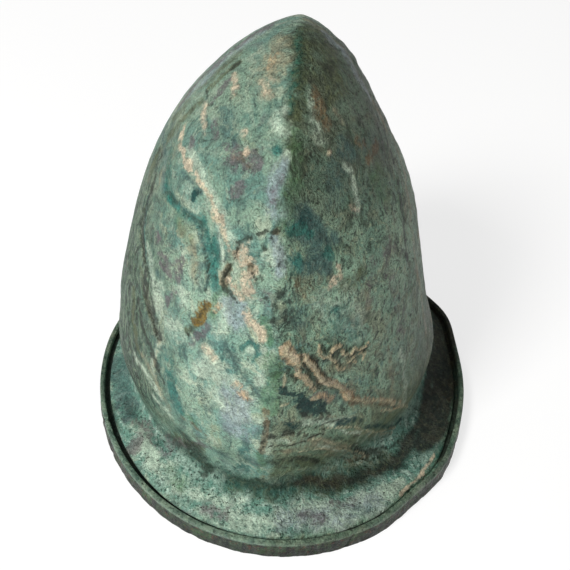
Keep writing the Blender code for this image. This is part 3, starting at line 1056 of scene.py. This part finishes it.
# %% Scatter more patches where the picture doesn't reach
# The back and the far sides get patches of the same pigments, which fade in where the skin turns away
# from the camera. Each one follows a random, seeded walk over the grid of rows and columns.
PATCH_COUNT = 150
COLUMNS_EACH_WAY = 110
FADE_IN = 0.35
SCATTERED = (
    "khaki", "moss", "pale", "teal", "mist", "mauve", "slate", "green", "peach_and_highlight", "khaki",
    "clay", "rust", "moss", "teal", "pale", "mauve", "pale", "slate", "teal",
)
draw = np.random.default_rng(7)
hidden = np.clip((FADE_IN - np.sum(skin_normals * view_back, axis=-1)) / FADE_IN, 0, 1)
for number in range(PATCH_COUNT):
    which = names.index(SCATTERED[number % len(SCATTERED)])
    row = LIP_ROWS + int(draw.integers(4, len(skin) - 12))
    column = COLUMNS // 2 + int(draw.integers(-COLUMNS_EACH_WAY, COLUMNS_EACH_WAY))
    steps = np.cumsum(draw.normal(0, 1, (5, 2)) + draw.normal(0, 1.2, 2), axis=0) * (2.5, 1.5)
    rows = np.clip(row + steps[:, 0], LIP_ROWS, grid[0] - 1).astype(int)
    columns = (column + steps[:, 1]).astype(int) % COLUMNS
    line = outside[rows, columns]
    reach = draw.uniform(0.0025, 0.0075)
    moved = skin_points + 0.5 * reach * wander
    gap = np.linalg.norm(moved[:, None] - line[None], axis=-1).min(axis=1)
    near = np.clip(1.6 * (1 - gap / reach), 0, 1) * hidden
    cover[which] = np.maximum(cover[which], near * draw.uniform(0.7, 1.1))
print("hidden share of the skin", round(float((hidden > 0.5).mean()), 2))

# %% Measure the broad fields
def share_between(value, low, high):
    """Return 0 below low and 1 above high, and an even share between."""
    return np.clip((value - low) / (high - low), 0, 1)


# In front, the rough ground begins at the keel. Behind, the two grounds alternate in a patchwork.
across, along, up = skin_points.T
sides = share_between(across, -0.012, 0.004)
behind = share_between(along, -0.010, 0.030)
patchwork = np.clip(0.5 + 0.9 * noise(skin_points, 0.05, 8), 0, 1)
right_field = sides * (1 - behind) + patchwork * behind

# The outer face is the profile's first rows, up to where it bends inward over the lip.
face_rows = np.argmax(LIP_PROFILE[:, 0] > LIP_LEAN + 0.0008)
face_field = (row_number < face_rows) * (1 - share_between(up, 0.0085, 0.0112))
lip_top = on_lip * (1 - face_field) * share_between(up, 0.0090, 0.0105)
fold_field = (1 - share_between(up, 0.045, 0.075)) * sides * (1 - behind) * on_crown

# The groove is painted dark as painted shade, less so around one bearing on the right, where pale soil
# fills it.
FILLED_BEARING = radians(46)
FILLED_REACH = radians(14)
groove_rows = (row_number >= LIP_ROWS - 9) & (row_number < LIP_ROWS)
groove_field = groove_rows * (1 - share_between(up, LIP_HEIGHT - 0.0034, LIP_HEIGHT - 0.0024))
from_filled = (angle_from_front(point_angle) - FILLED_BEARING) / FILLED_REACH
groove_field *= 1 - 0.7 * np.exp(-from_filled ** 4)
print("groove rows", np.unique(row_number[groove_field > 0.5]))

# %% Paint shade into the throat and the shaded brim
# Strength is how dark the painted shade gets, and half width and path are in picture pixels. The patches
# are painted shade: they follow the shaded throat and brim, where the crown keeps the light off the right
# brim, and they lie between the crusts, by the keel and down the left edge. A ring of painted shade runs
# around the throat.
ShadePatch = namedtuple("ShadePatch", "strength half_width path")
SHADE_PATCHES = (
    ShadePatch(1.25, 20, ((434, 285), (444, 315), (449, 345), (449, 380), (444, 405), (436, 425), (424, 442))),
    ShadePatch(1.00, 12, ((430, 290), (432, 330), (432, 370), (427, 400), (418, 425), (404, 446), (396, 466))),
    ShadePatch(1.10, 14, ((438, 300), (439, 340), (438, 380), (432, 410), (424, 430))),
    ShadePatch(0.92, 19, ((412, 442), (392, 462), (362, 474), (330, 481), (300, 484))),
    ShadePatch(0.74, 24, ((300, 484), (270, 488), (245, 485), (225, 476))),
    ShadePatch(0.62, 13, ((235, 480), (205, 466), (180, 450), (158, 428), (140, 400), (128, 370), (122, 340))),
    ShadePatch(0.45, 11, ((406, 428), (417, 408), (423, 388), (425, 365))),
    ShadePatch(0.22, 20, ((300, 456), (340, 462), (375, 456))),
    ShadePatch(0.72, 15, ((180, 434), (192, 446), (204, 460))),
    ShadePatch(0.45, 9, ((192, 438), (204, 440))),
    ShadePatch(0.22, 7, ((303, 356), (308, 368), (318, 382))),
    ShadePatch(0.35, 8, ((273, 300), (276, 330))),
    ShadePatch(0.35, 8, ((302, 28), (303, 64), (300, 100))),
    ShadePatch(0.42, 22, ((222, 452), (246, 462), (258, 466))),
    ShadePatch(0.20, 14, ((262, 440), (262, 470))),
    ShadePatch(0.45, 16, ((128, 402), (140, 424), (158, 440))),
    ShadePatch(0.60, 7, ((101, 340), (103, 370), (108, 400), (116, 430))),
)
# A patch that reaches this column lies on the right brim, and keeps off the crown that stands in front
# of it.
BRIM_COLUMN = 428
SHADE_RAGGED = 0.15
THROAT_ROW = LIP_ROWS + BRIM_ROWS - 1
THROAT_ROWS_WIDE = 7
THROAT_SHADE = 0.30
painted_shade = np.zeros(len(skin_points))
below_throat = 1 - share_between(up, 0.034, 0.050)
for patch in SHADE_PATCHES:
    near = closeness(patch.path, patch.half_width, SHADE_RAGGED)
    if max(column for column, row in patch.path) > BRIM_COLUMN:
        near = near * below_throat
    painted_shade = np.maximum(painted_shade, patch.strength * domed(near))
throat_ring = np.exp(-((row_number - THROAT_ROW) / THROAT_ROWS_WIDE) ** 2)
painted_shade = np.maximum(painted_shade, THROAT_SHADE * throat_ring * np.clip(0.6 + noise(skin_points, 0.02, 9), 0, 1))
print("darkest grime", round(float(painted_shade.max()), 2))


# %% Tell hollows from ridges
def blurred(field, times):
    """Return a field of the grid averaged with its four neighbours this many times over."""
    for _ in range(times):
        beside = np.roll(field, 1, axis=1) + np.roll(field, -1, axis=1)
        above = np.vstack([field[1:], field[-1:]]) + np.vstack([field[:1], field[:-1]])
        field = 0.5 * field + 0.125 * (beside + above)
    return field


# A point stands out where it is lifted further than its blurred surroundings. This is in millimetres.
relief_grid = (lift * (1 - on_lip)).reshape(grid)
standing = (relief_grid - blurred(relief_grid, times=7)).ravel()
# In the material the hollows get painted shade and the ridges painted highlights.
hollow_shade_field = share_between(-standing, 0.06, 0.46)
ridge_highlight_field = share_between(standing, 0.05, 0.55)

# The crown's far sides get painted shade, combed with streaks; on the left it is only in front.
flank_field = share_between(-across, 0.045, 0.075) * (1 - behind) * on_crown
far_shade_field = share_between(across, 0.050, 0.078) * on_crown
print("deepest hollow", round(float(standing.min()), 2), "mm")
print("highest ridge", round(float(standing.max()), 2), "mm")

# %% Put the surfaces into one closed mesh
def closed_mesh(name, rows, first_pole, last_pole):
    """Make a mesh from stacked rings, closed by a fan to a point at each end, with its faces outward."""
    count, columns = rows.shape[:2]
    points = np.concatenate([rows.reshape(-1, 3), [first_pole, last_pole]])
    ring = np.arange(columns)
    after = np.roll(ring, -1)
    start = np.arange(count - 1)[:, None] * columns
    above = start + columns
    quads = np.stack([start + ring, start + after, above + after, above + ring], axis=-1)
    top = (count - 1) * columns
    first = np.full(columns, count * columns)
    first_fan = np.stack([first, after, ring], axis=-1)
    last_fan = np.stack([first + 1, top + ring, top + after], axis=-1)
    mesh = bpy.data.meshes.new(name)
    faces = quads.reshape(-1, 4).tolist() + first_fan.tolist() + last_fan.tolist()
    mesh.from_pydata(points.tolist(), [], faces)
    mesh.shade_smooth()
    return mesh


peak = np.array((SECTIONS[-1].lean * CROWN_WIDTH, 0, HEIGHT))
all_rows = np.concatenate([inside[::-1], worn])
mesh = closed_mesh("bronze_helmet", all_rows, peak - (0, 0, 1.6 * CROWN_WALL), peak)
helmet = bpy.data.objects.new("bronze_helmet", mesh)
bpy.context.collection.objects.link(helmet)
print("helmet has", len(mesh.vertices), "points and", len(mesh.polygons), "faces")

# %% [markdown]
# ## The material
# Each layer is mixed over the last in one node tree: first the ground colours of the smoother, paler
# left side and of the rough, darker right side, which is partly painted shade, then the sixteen pigments
# by their stored marks, some of them painted shadows and highlights, then pits, the painted shade of the
# lip's outer face, painted shade in the hollows, painted highlights on the ridges, painted shade in the
# groove, and the painted shade of the throat and brim. A painted picture could hold all of it, but it
# would have to be wrapped around the crown, and its pixels would show close up. Here the points hold only
# the broad fields, and noise draws what is finer. Object coordinates are used throughout, so that the
# pattern is fixed to the bronze.

# %% Store the fields on the points
inner_count = inside.shape[0] * inside.shape[1]


def store(mesh, name, four):
    """Keep four values per outer point as one colour attribute. The top point gets the last ring's mean."""
    outer = np.stack(four, axis=-1)
    values = np.zeros((len(mesh.vertices), 4), np.float32)
    values[inner_count:inner_count + len(outer)] = outer
    values[-1] = outer[-COLUMNS:].mean(axis=0)
    attribute = mesh.attributes.new(name, "FLOAT_COLOR", "POINT")
    attribute.data.foreach_set("color", values.ravel())


store(mesh, "fields", (right_field, on_brim, face_field, groove_field))
store(mesh, "shade_and_highlight", (painted_shade, hollow_shade_field, ridge_highlight_field, flank_field))
store(mesh, "rim", (lip_top, fold_field, far_shade_field, np.zeros(len(lip_top))))
for first in range(0, len(PIGMENTS), 4):
    store(mesh, f"marks_{first // 4}", cover[first:first + 4])
print("stored", [attribute.name for attribute in mesh.attributes])


# %% Make short words for the nodes
class Nodes:
    """A node tree that is built by calls: sockets are linked, and plain values are set."""

    def __init__(self, tree):
        self.tree = tree

    def add(self, kind, inputs=None, **settings):
        """Add a node, set its properties, and link or set its inputs by name or number."""
        made = self.tree.nodes.new("ShaderNode" + kind)
        for name, value in settings.items():
            setattr(made, name, value)
        for socket, value in (inputs or {}).items():
            if isinstance(value, bpy.types.NodeSocket):
                self.tree.links.new(value, made.inputs[socket])
            else:
                made.inputs[socket].default_value = value
        return made

    def noise(self, coordinates, scale, detail, roughness=0.55, distortion=0.0):
        """Return noise from 0 to 1 with this many features to the metre."""
        made = self.add("TexNoise", {"Vector": coordinates, "Scale": scale, "Detail": detail,
                                     "Roughness": roughness, "Distortion": distortion})
        return made.outputs["Fac"]

    def ramp(self, value, low, high, to_low=0.0, to_high=1.0):
        """Return the value moved smoothly from the range low to high into the range to_low to to_high."""
        made = self.add("MapRange", {"Value": value, "From Min": low, "From Max": high, "To Min": to_low,
                                     "To Max": to_high}, interpolation_type="SMOOTHSTEP")
        return made.outputs["Result"]

    def maths(self, operation, first, second=0.0, third=0.0):
        """Return the result of one sum."""
        made = self.add("Math", {0: first, 1: second, 2: third}, operation=operation)
        return made.outputs["Value"]

    def times(self, first, second, plus=0.0):
        """Return the first times the second, plus the third."""
        return self.maths("MULTIPLY_ADD", first, second, plus)

    def mix(self, share, first, second, kind="MIX"):
        """Return the first colour with this share of the second over it. Inputs 6 and 7 are the colours."""
        made = self.add("Mix", {"Factor": share, 6: first, 7: second}, data_type="RGBA", blend_type=kind)
        return made.outputs[2]

    def drawn_out(self, coordinates, share):
        """Return coordinates whose height counts only this much, so that noise on them runs downward."""
        return self.add("Mapping", {"Vector": coordinates, "Scale": (1, 1, share)}).outputs["Vector"]

    def stored(self, name):
        """Return the four values that the points hold under this name."""
        attribute = self.add("Attribute", attribute_name=name)
        parts = self.add("SeparateColor", {0: attribute.outputs["Color"]}).outputs
        return parts["Red"], parts["Green"], parts["Blue"], attribute.outputs["Alpha"]


def paint(red, green, blue):
    """Return a paint card's colour, 0 to 255, as the linear light that a shader uses."""
    card = np.array((red, green, blue)) / 255
    linear = np.where(card <= 0.04045, card / 12.92, ((card + 0.055) / 1.055) ** 2.4)
    return (*(float(part) for part in linear), 1.0)


print("a paint card's middle grey is", round(paint(128, 128, 128)[0], 3), "in linear light")

# %% Make the noises
# Their scales go from a few features over the whole helmet to a grain under a millimetre. The swirled
# coordinates are pushed about by noise, as a wash of soil and copper salts would run.
SWIRL = 0.016
bronze = bpy.data.materials.new("patinated_bronze_layers")
bronze.use_nodes = True
n = Nodes(bronze.node_tree)
surface = bronze.node_tree.nodes["Principled BSDF"]
place = n.add("TexCoord").outputs["Object"]
blown = n.add("TexNoise", {"Vector": place, "Scale": 70, "Detail": 3}).outputs["Color"]
shift = n.add("VectorMath", {0: blown, 1: (0.5, 0.5, 0.5)}, operation="SUBTRACT").outputs["Vector"]
shift = n.add("VectorMath", {0: shift, "Scale": SWIRL}, operation="SCALE").outputs["Vector"]
swirled = n.add("VectorMath", {0: place, 1: shift}, operation="ADD").outputs["Vector"]
stretched = n.drawn_out(swirled, 0.30)
drawn = n.drawn_out(swirled, 0.55)

layers = n.noise(swirled, 38, 6, 0.60, 1.6)
clouds = n.noise(swirled, 55, 5, 0.60)
wisps = n.noise(stretched, 95, 6, 0.62, 1.2)
patches = n.noise(drawn, 150, 5, 0.62)
broken = n.noise(n.drawn_out(place, 0.6), 300, 5, 0.68)
combed = n.noise(n.drawn_out(swirled, 0.12), 420, 5, 0.70)
flecks = n.noise(place, 430, 4, 0.65)
streaks = n.noise(stretched, 540, 4, 0.64)
grain = n.noise(place, 1150, 3, 0.60)
print("the noises take", len(bronze.node_tree.nodes), "nodes")

# %% Read the stored fields
right_side, brim, outer_face, groove = n.stored("fields")
shade_share, hollow, ridge, flank = n.stored("shade_and_highlight")
rim_top, folds, far_side, _ = n.stored("rim")
level = n.add("SeparateXYZ", {0: place}).outputs["Z"]
print("with the fields", len(bronze.node_tree.nodes), "nodes")


# %% Build the ground colours
def contour(coordinates, scale, width):
    """Return thin winding lines: where the noise passes through its middle value."""
    value = n.noise(coordinates, scale, 3, 0.55, 0.8)
    return n.ramp(n.maths("ABSOLUTE", n.maths("SUBTRACT", value, 0.5)), width, width * 0.2)


# A coat covers what is below it up to its share, as its pattern goes from low to high.
Coat = namedtuple("Coat", "pattern low high share red green blue")


def coated(ground, *coats):
    """Return the ground with each coat mixed over it in turn."""
    for coat in coats:
        amount = n.ramp(coat.pattern, coat.low, coat.high, 0, coat.share)
        ground = n.mix(amount, ground, paint(coat.red, coat.green, coat.blue))
    return ground


left_ground = coated(
    paint(118, 158, 148),
    Coat(clouds, 0.38, 0.62, 1.00, 154, 182, 162),
    Coat(layers, 0.50, 0.66, 0.80, 202, 214, 190),
    Coat(layers, 0.42, 0.32, 0.70, 114, 124, 124),
    Coat(wisps, 0.54, 0.66, 0.80, 68, 108, 102),
    Coat(wisps, 0.42, 0.34, 0.60, 168, 178, 150),
    Coat(patches, 0.53, 0.64, 0.70, 86, 110, 104),
    Coat(patches, 0.46, 0.34, 0.60, 192, 206, 186),
    Coat(broken, 0.52, 0.70, 0.35, 186, 198, 180),
    Coat(broken, 0.46, 0.32, 0.35, 84, 106, 100),
    Coat(flecks, 0.40, 0.28, 0.75, 66, 82, 74),
)
lines = n.times(contour(swirled, 60, 0.020), n.ramp(clouds, 0.46, 0.60, 0, 0.6))
left_ground = n.mix(lines, left_ground, paint(66, 88, 82))
# Towards the left edge the ground gets painted shade, combed with dark and light streaks.
flank_lines = n.times(n.ramp(combed, 0.52, 0.42), flank)
flank_light = n.times(n.ramp(combed, 0.52, 0.62), flank)
left_ground = n.mix(n.times(flank, 0.85), left_ground, paint(60, 84, 64))
left_ground = n.mix(n.times(flank_lines, 0.90), left_ground, paint(24, 38, 27))
left_ground = n.mix(n.times(flank_light, 0.45), left_ground, paint(146, 160, 134))
left_ground = n.mix(n.ramp(level, 0.130, 0.210, 0, 0.40), left_ground, paint(92, 108, 92))

# The right ground is darker than the left partly as its own corrosion and partly as painted shade, because
# the light comes from the left.
right_ground = coated(
    paint(128, 160, 140),
    Coat(clouds, 0.40, 0.60, 1.00, 160, 188, 164),
    Coat(layers, 0.50, 0.62, 0.70, 136, 142, 118),
    Coat(layers, 0.42, 0.34, 0.60, 104, 138, 134),
    Coat(wisps, 0.54, 0.64, 0.60, 112, 106, 88),
    Coat(patches, 0.54, 0.63, 0.70, 62, 80, 62),
    Coat(patches, 0.47, 0.34, 0.70, 160, 190, 166),
    Coat(streaks, 0.53, 0.68, 0.70, 180, 192, 162),
    Coat(streaks, 0.47, 0.34, 0.90, 34, 52, 40),
    Coat(flecks, 0.42, 0.34, 0.80, 34, 54, 44),
)
# The far right side gets painted shade, combed with paler streaks.
far_side_shade = coated(paint(50, 60, 48), Coat(combed, 0.44, 0.56, 1.00, 96, 104, 88))
right_ground = n.mix(n.times(far_side, 0.70), right_ground, far_side_shade)
right_ground = n.mix(n.ramp(level, 0.150, 0.195, 0, 0.62), right_ground, paint(52, 58, 42))
earthy = coated(paint(64, 76, 52), Coat(patches, 0.42, 0.58, 1.00, 122, 130, 98))
right_ground = n.mix(n.times(folds, 0.60), right_ground, earthy)

scratch = n.times(contour(drawn, 170, 0.016), n.ramp(layers, 0.42, 0.56, 0.15, 0.75))
left_ground = n.mix(scratch, left_ground, paint(58, 80, 72))
right_ground = n.mix(scratch, right_ground, paint(30, 40, 30))
side = n.ramp(n.times(n.maths("SUBTRACT", patches, 0.5), 0.7, right_side), 0.30, 0.70)
colour = n.mix(side, left_ground, right_ground)
brim_ground = coated(
    paint(118, 156, 142),
    Coat(patches, 0.42, 0.60, 1.00, 150, 176, 162),
    Coat(broken, 0.52, 0.62, 0.80, 196, 220, 206),
    Coat(flecks, 0.47, 0.34, 0.85, 52, 74, 66),
)
colour = n.mix(brim, colour, brim_ground)
print("with the grounds", len(bronze.node_tree.nodes), "nodes")

# %% Lay the pigments over it
# A mark's closeness times a speckle is cut softly at the edge value. So its patch breaks up where it
# fades. Inside a patch the paint varies between its own shade and its own light.
EDGE = 0.46
SHADE = 0.62
LIGHT = 1.22
channels = []
for first in range(0, len(PIGMENTS), 4):
    channels += n.stored(f"marks_{first // 4}")
speckles = []
for fine in (broken, streaks, flecks):
    both = n.times(n.maths("ADD", patches, wisps), 0.5, fine)
    speckles.append(n.ramp(both, 0.76, 1.24))
variety = n.ramp(n.noise(place, 230, 5, 0.72), 0.36, 0.64)
crust = n.times(grain, 0.05)
for number, (pigment, near) in enumerate(zip(PIGMENTS, channels)):
    speckle = n.times(speckles[number % 3], pigment.ragged, 1 - pigment.ragged / 2)
    half_edge = pigment.soft / 2
    amount = n.ramp(n.times(near, speckle), EDGE - half_edge, EDGE + half_edge, 0, pigment.cover)
    tint = paint(pigment.red, pigment.green, pigment.blue)[:3]
    shade = (*(SHADE * part for part in tint), 1)
    light = (*(min(1, LIGHT * part) for part in tint), 1)
    colour = n.mix(amount, colour, n.mix(variety, shade, light))
    crust = n.times(amount, pigment.raised, crust)
print("with the pigments", len(bronze.node_tree.nodes), "nodes")

# %% Darken the pits, paint shade on the lip's outer face, in the hollows, the groove, the throat and the brim, and highlights on the ridges
pits = n.ramp(n.noise(place, 760, 2, 0.5), 0.37, 0.29)
worn_pits = n.times(pits, n.times(brim, 0.4, 0.5))
colour = n.mix(worn_pits, colour, paint(44, 52, 44))
sage = coated(
    paint(84, 102, 88),
    Coat(patches, 0.42, 0.58, 1.00, 138, 154, 134),
    Coat(flecks, 0.46, 0.36, 0.80, 48, 58, 48),
)
colour = n.mix(n.times(rim_top, 0.75), colour, sage)

# The lip's outer face is painted near black as painted shade, mottled with green and reddish-brown specks
# and run-down streaks, and darkest towards the foot.
run_down = n.noise(n.drawn_out(place, 0.3), 330, 4, 0.65)
lip_face_shade = coated(
    paint(8, 11, 7),
    Coat(run_down, 0.44, 0.56, 1.00, 56, 72, 52),
    Coat(patches, 0.52, 0.60, 0.80, 74, 102, 68),
    Coat(clouds, 0.50, 0.60, 0.60, 30, 34, 26),
    Coat(flecks, 0.54, 0.62, 0.80, 84, 54, 44),
    Coat(broken, 0.46, 0.38, 0.90, 10, 12, 8),
    Coat(run_down, 0.58, 0.70, 0.50, 120, 132, 110),
)
near_foot = n.times(n.maths("SUBTRACT", clouds, 0.5), 0.012, level)
lip_face_shade = n.mix(n.ramp(near_foot, 0.0075, 0.0030, 0, 0.45), lip_face_shade, paint(12, 14, 9))
colour = n.mix(n.ramp(outer_face, 0.15, 0.85, 0, 0.95), colour, lip_face_shade)

colour = coated(
    colour,
    # Painted shade in the hollows.
    Coat(hollow, 0.0, 0.8, 0.74, 40, 42, 30),
    # Painted highlights on the ridges.
    Coat(ridge, 0.0, 0.8, 0.62, 210, 204, 174),
    # Painted shade in the groove.
    Coat(groove, 0.3, 0.8, 0.90, 22, 26, 20),
)
# The throat, the shaded brim and the crevices get painted shade: dark green, turning to a near-black brown
# where it is deepest, with paler flecks.
deepest_shade_colour = coated(paint(22, 22, 16), Coat(patches, 0.42, 0.60, 1.00, 50, 45, 33))
shade_colour = n.mix(n.ramp(shade_share, 0.5, 0.95), paint(26, 54, 43), deepest_shade_colour)
shade_colour = coated(shade_colour, Coat(flecks, 0.53, 0.64, 0.60, 88, 90, 66))
colour = n.mix(n.ramp(shade_share, 0.0, 1.0, 0, 0.92), colour, shade_colour)

tone = n.ramp(grain, 0.3, 0.7, 0.68, 1.24)
grey = n.add("CombineColor", {0: tone, 1: tone, 2: tone}).outputs[0]
colour = n.mix(1.0, colour, grey, "MULTIPLY")
colour = n.add("HueSaturation", {"Saturation": 1.16, "Color": colour}).outputs["Color"]
bronze.node_tree.links.new(colour, surface.inputs["Base Color"])
print("with the dark parts", len(bronze.node_tree.nodes), "nodes")

# %% Give it its gloss and its grain
# The bump adds up streaks, flecks, grain and the raised crusts, less the pits. It is stronger on the
# rough side.
BUMP_DEPTH = 0.0015
bronze.node_tree.links.new(n.ramp(broken, 0.3, 0.7, 0.36, 0.62), surface.inputs["Roughness"])
surface.inputs["Specular IOR Level"].default_value = 0.30
raised = n.times(streaks, n.times(side, 2.0, 0.2), flecks)
raised = n.times(grain, 0.8, raised)
raised = n.times(broken, n.times(side, 1.6, 0.7), raised)
raised = n.times(worn_pits, -0.6, raised)
raised = n.maths("ADD", crust, raised)
bump = n.add("Bump", {"Strength": 1.0, "Distance": BUMP_DEPTH, "Height": raised})
bronze.node_tree.links.new(bump.outputs["Normal"], surface.inputs["Normal"])
mesh.materials.append(bronze)
print("bronze has", len(bronze.node_tree.nodes), "nodes")

# %% [markdown]
# ## The floor and the light
# The helmet stands on a bright, even ground under soft light that comes mostly from high up on the left
# in front, so that the left side is pale and the throat on the right lies in shade. A small lamp would
# give hard shadows and glare, so the lamp is a wide square, and an even white sky fills in the rest.
# The floor glows a little by itself, which keeps it near white without a stronger lamp.

# %% Floor and light
FLOOR_HALF = 4
FLOOR_GREY = 0.3
FLOOR_ROUGHNESS = 0.9
FLOOR_GLOW = 0.72
SKY_GLOW = 0.30
WHITE = (1, 1, 1, 1)
LIGHT_TARGET = (0, 0, 0.1)

floor_mesh = bpy.data.meshes.new("floor")
floor_corners = [(x * FLOOR_HALF, y * FLOOR_HALF, 0) for x, y in ((-1, -1), (1, -1), (1, 1), (-1, 1))]
floor_mesh.from_pydata(floor_corners, [], [(0, 1, 2, 3)])
floor = bpy.data.objects.new("floor", floor_mesh)
bpy.context.collection.objects.link(floor)
pale = bpy.data.materials.new("pale_floor")
pale.use_nodes = True
pale_surface = pale.node_tree.nodes["Principled BSDF"]
pale_surface.inputs["Base Color"].default_value = (FLOOR_GREY, FLOOR_GREY, FLOOR_GREY, 1)
pale_surface.inputs["Roughness"].default_value = FLOOR_ROUGHNESS
pale_surface.inputs["Emission Color"].default_value = WHITE
pale_surface.inputs["Emission Strength"].default_value = FLOOR_GLOW
floor_mesh.materials.append(pale)


def soft_light(name, spot, size, power, colour):
    """Hang a square light of this size at the spot, facing the middle of the helmet."""
    data = bpy.data.lights.new(name, "AREA")
    data.size = size
    data.energy = power
    data.color = colour
    lamp = bpy.data.objects.new(name, data)
    lamp.location = spot
    lamp.rotation_euler = (Vector(LIGHT_TARGET) - Vector(spot)).to_track_quat("-Z", "Y").to_euler()
    bpy.context.collection.objects.link(lamp)
    print(name, "of", power, "W, with sides of", size, "m, at", spot)


soft_light("key_light", (-1.0, -1.0, 1.5), size=0.6, power=40, colour=(1.0, 0.99, 0.97))
world = bpy.data.worlds.new("studio")
bpy.context.scene.world = world
world.use_nodes = True
sky = world.node_tree.nodes["Background"]
sky.inputs["Color"].default_value = WHITE
sky.inputs["Strength"].default_value = SKY_GLOW
bpy.context.scene.view_settings.view_transform = "Standard"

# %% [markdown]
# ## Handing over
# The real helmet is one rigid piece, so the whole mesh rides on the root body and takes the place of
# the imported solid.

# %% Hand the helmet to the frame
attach(helmet, "root")
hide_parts("helmet_shell")
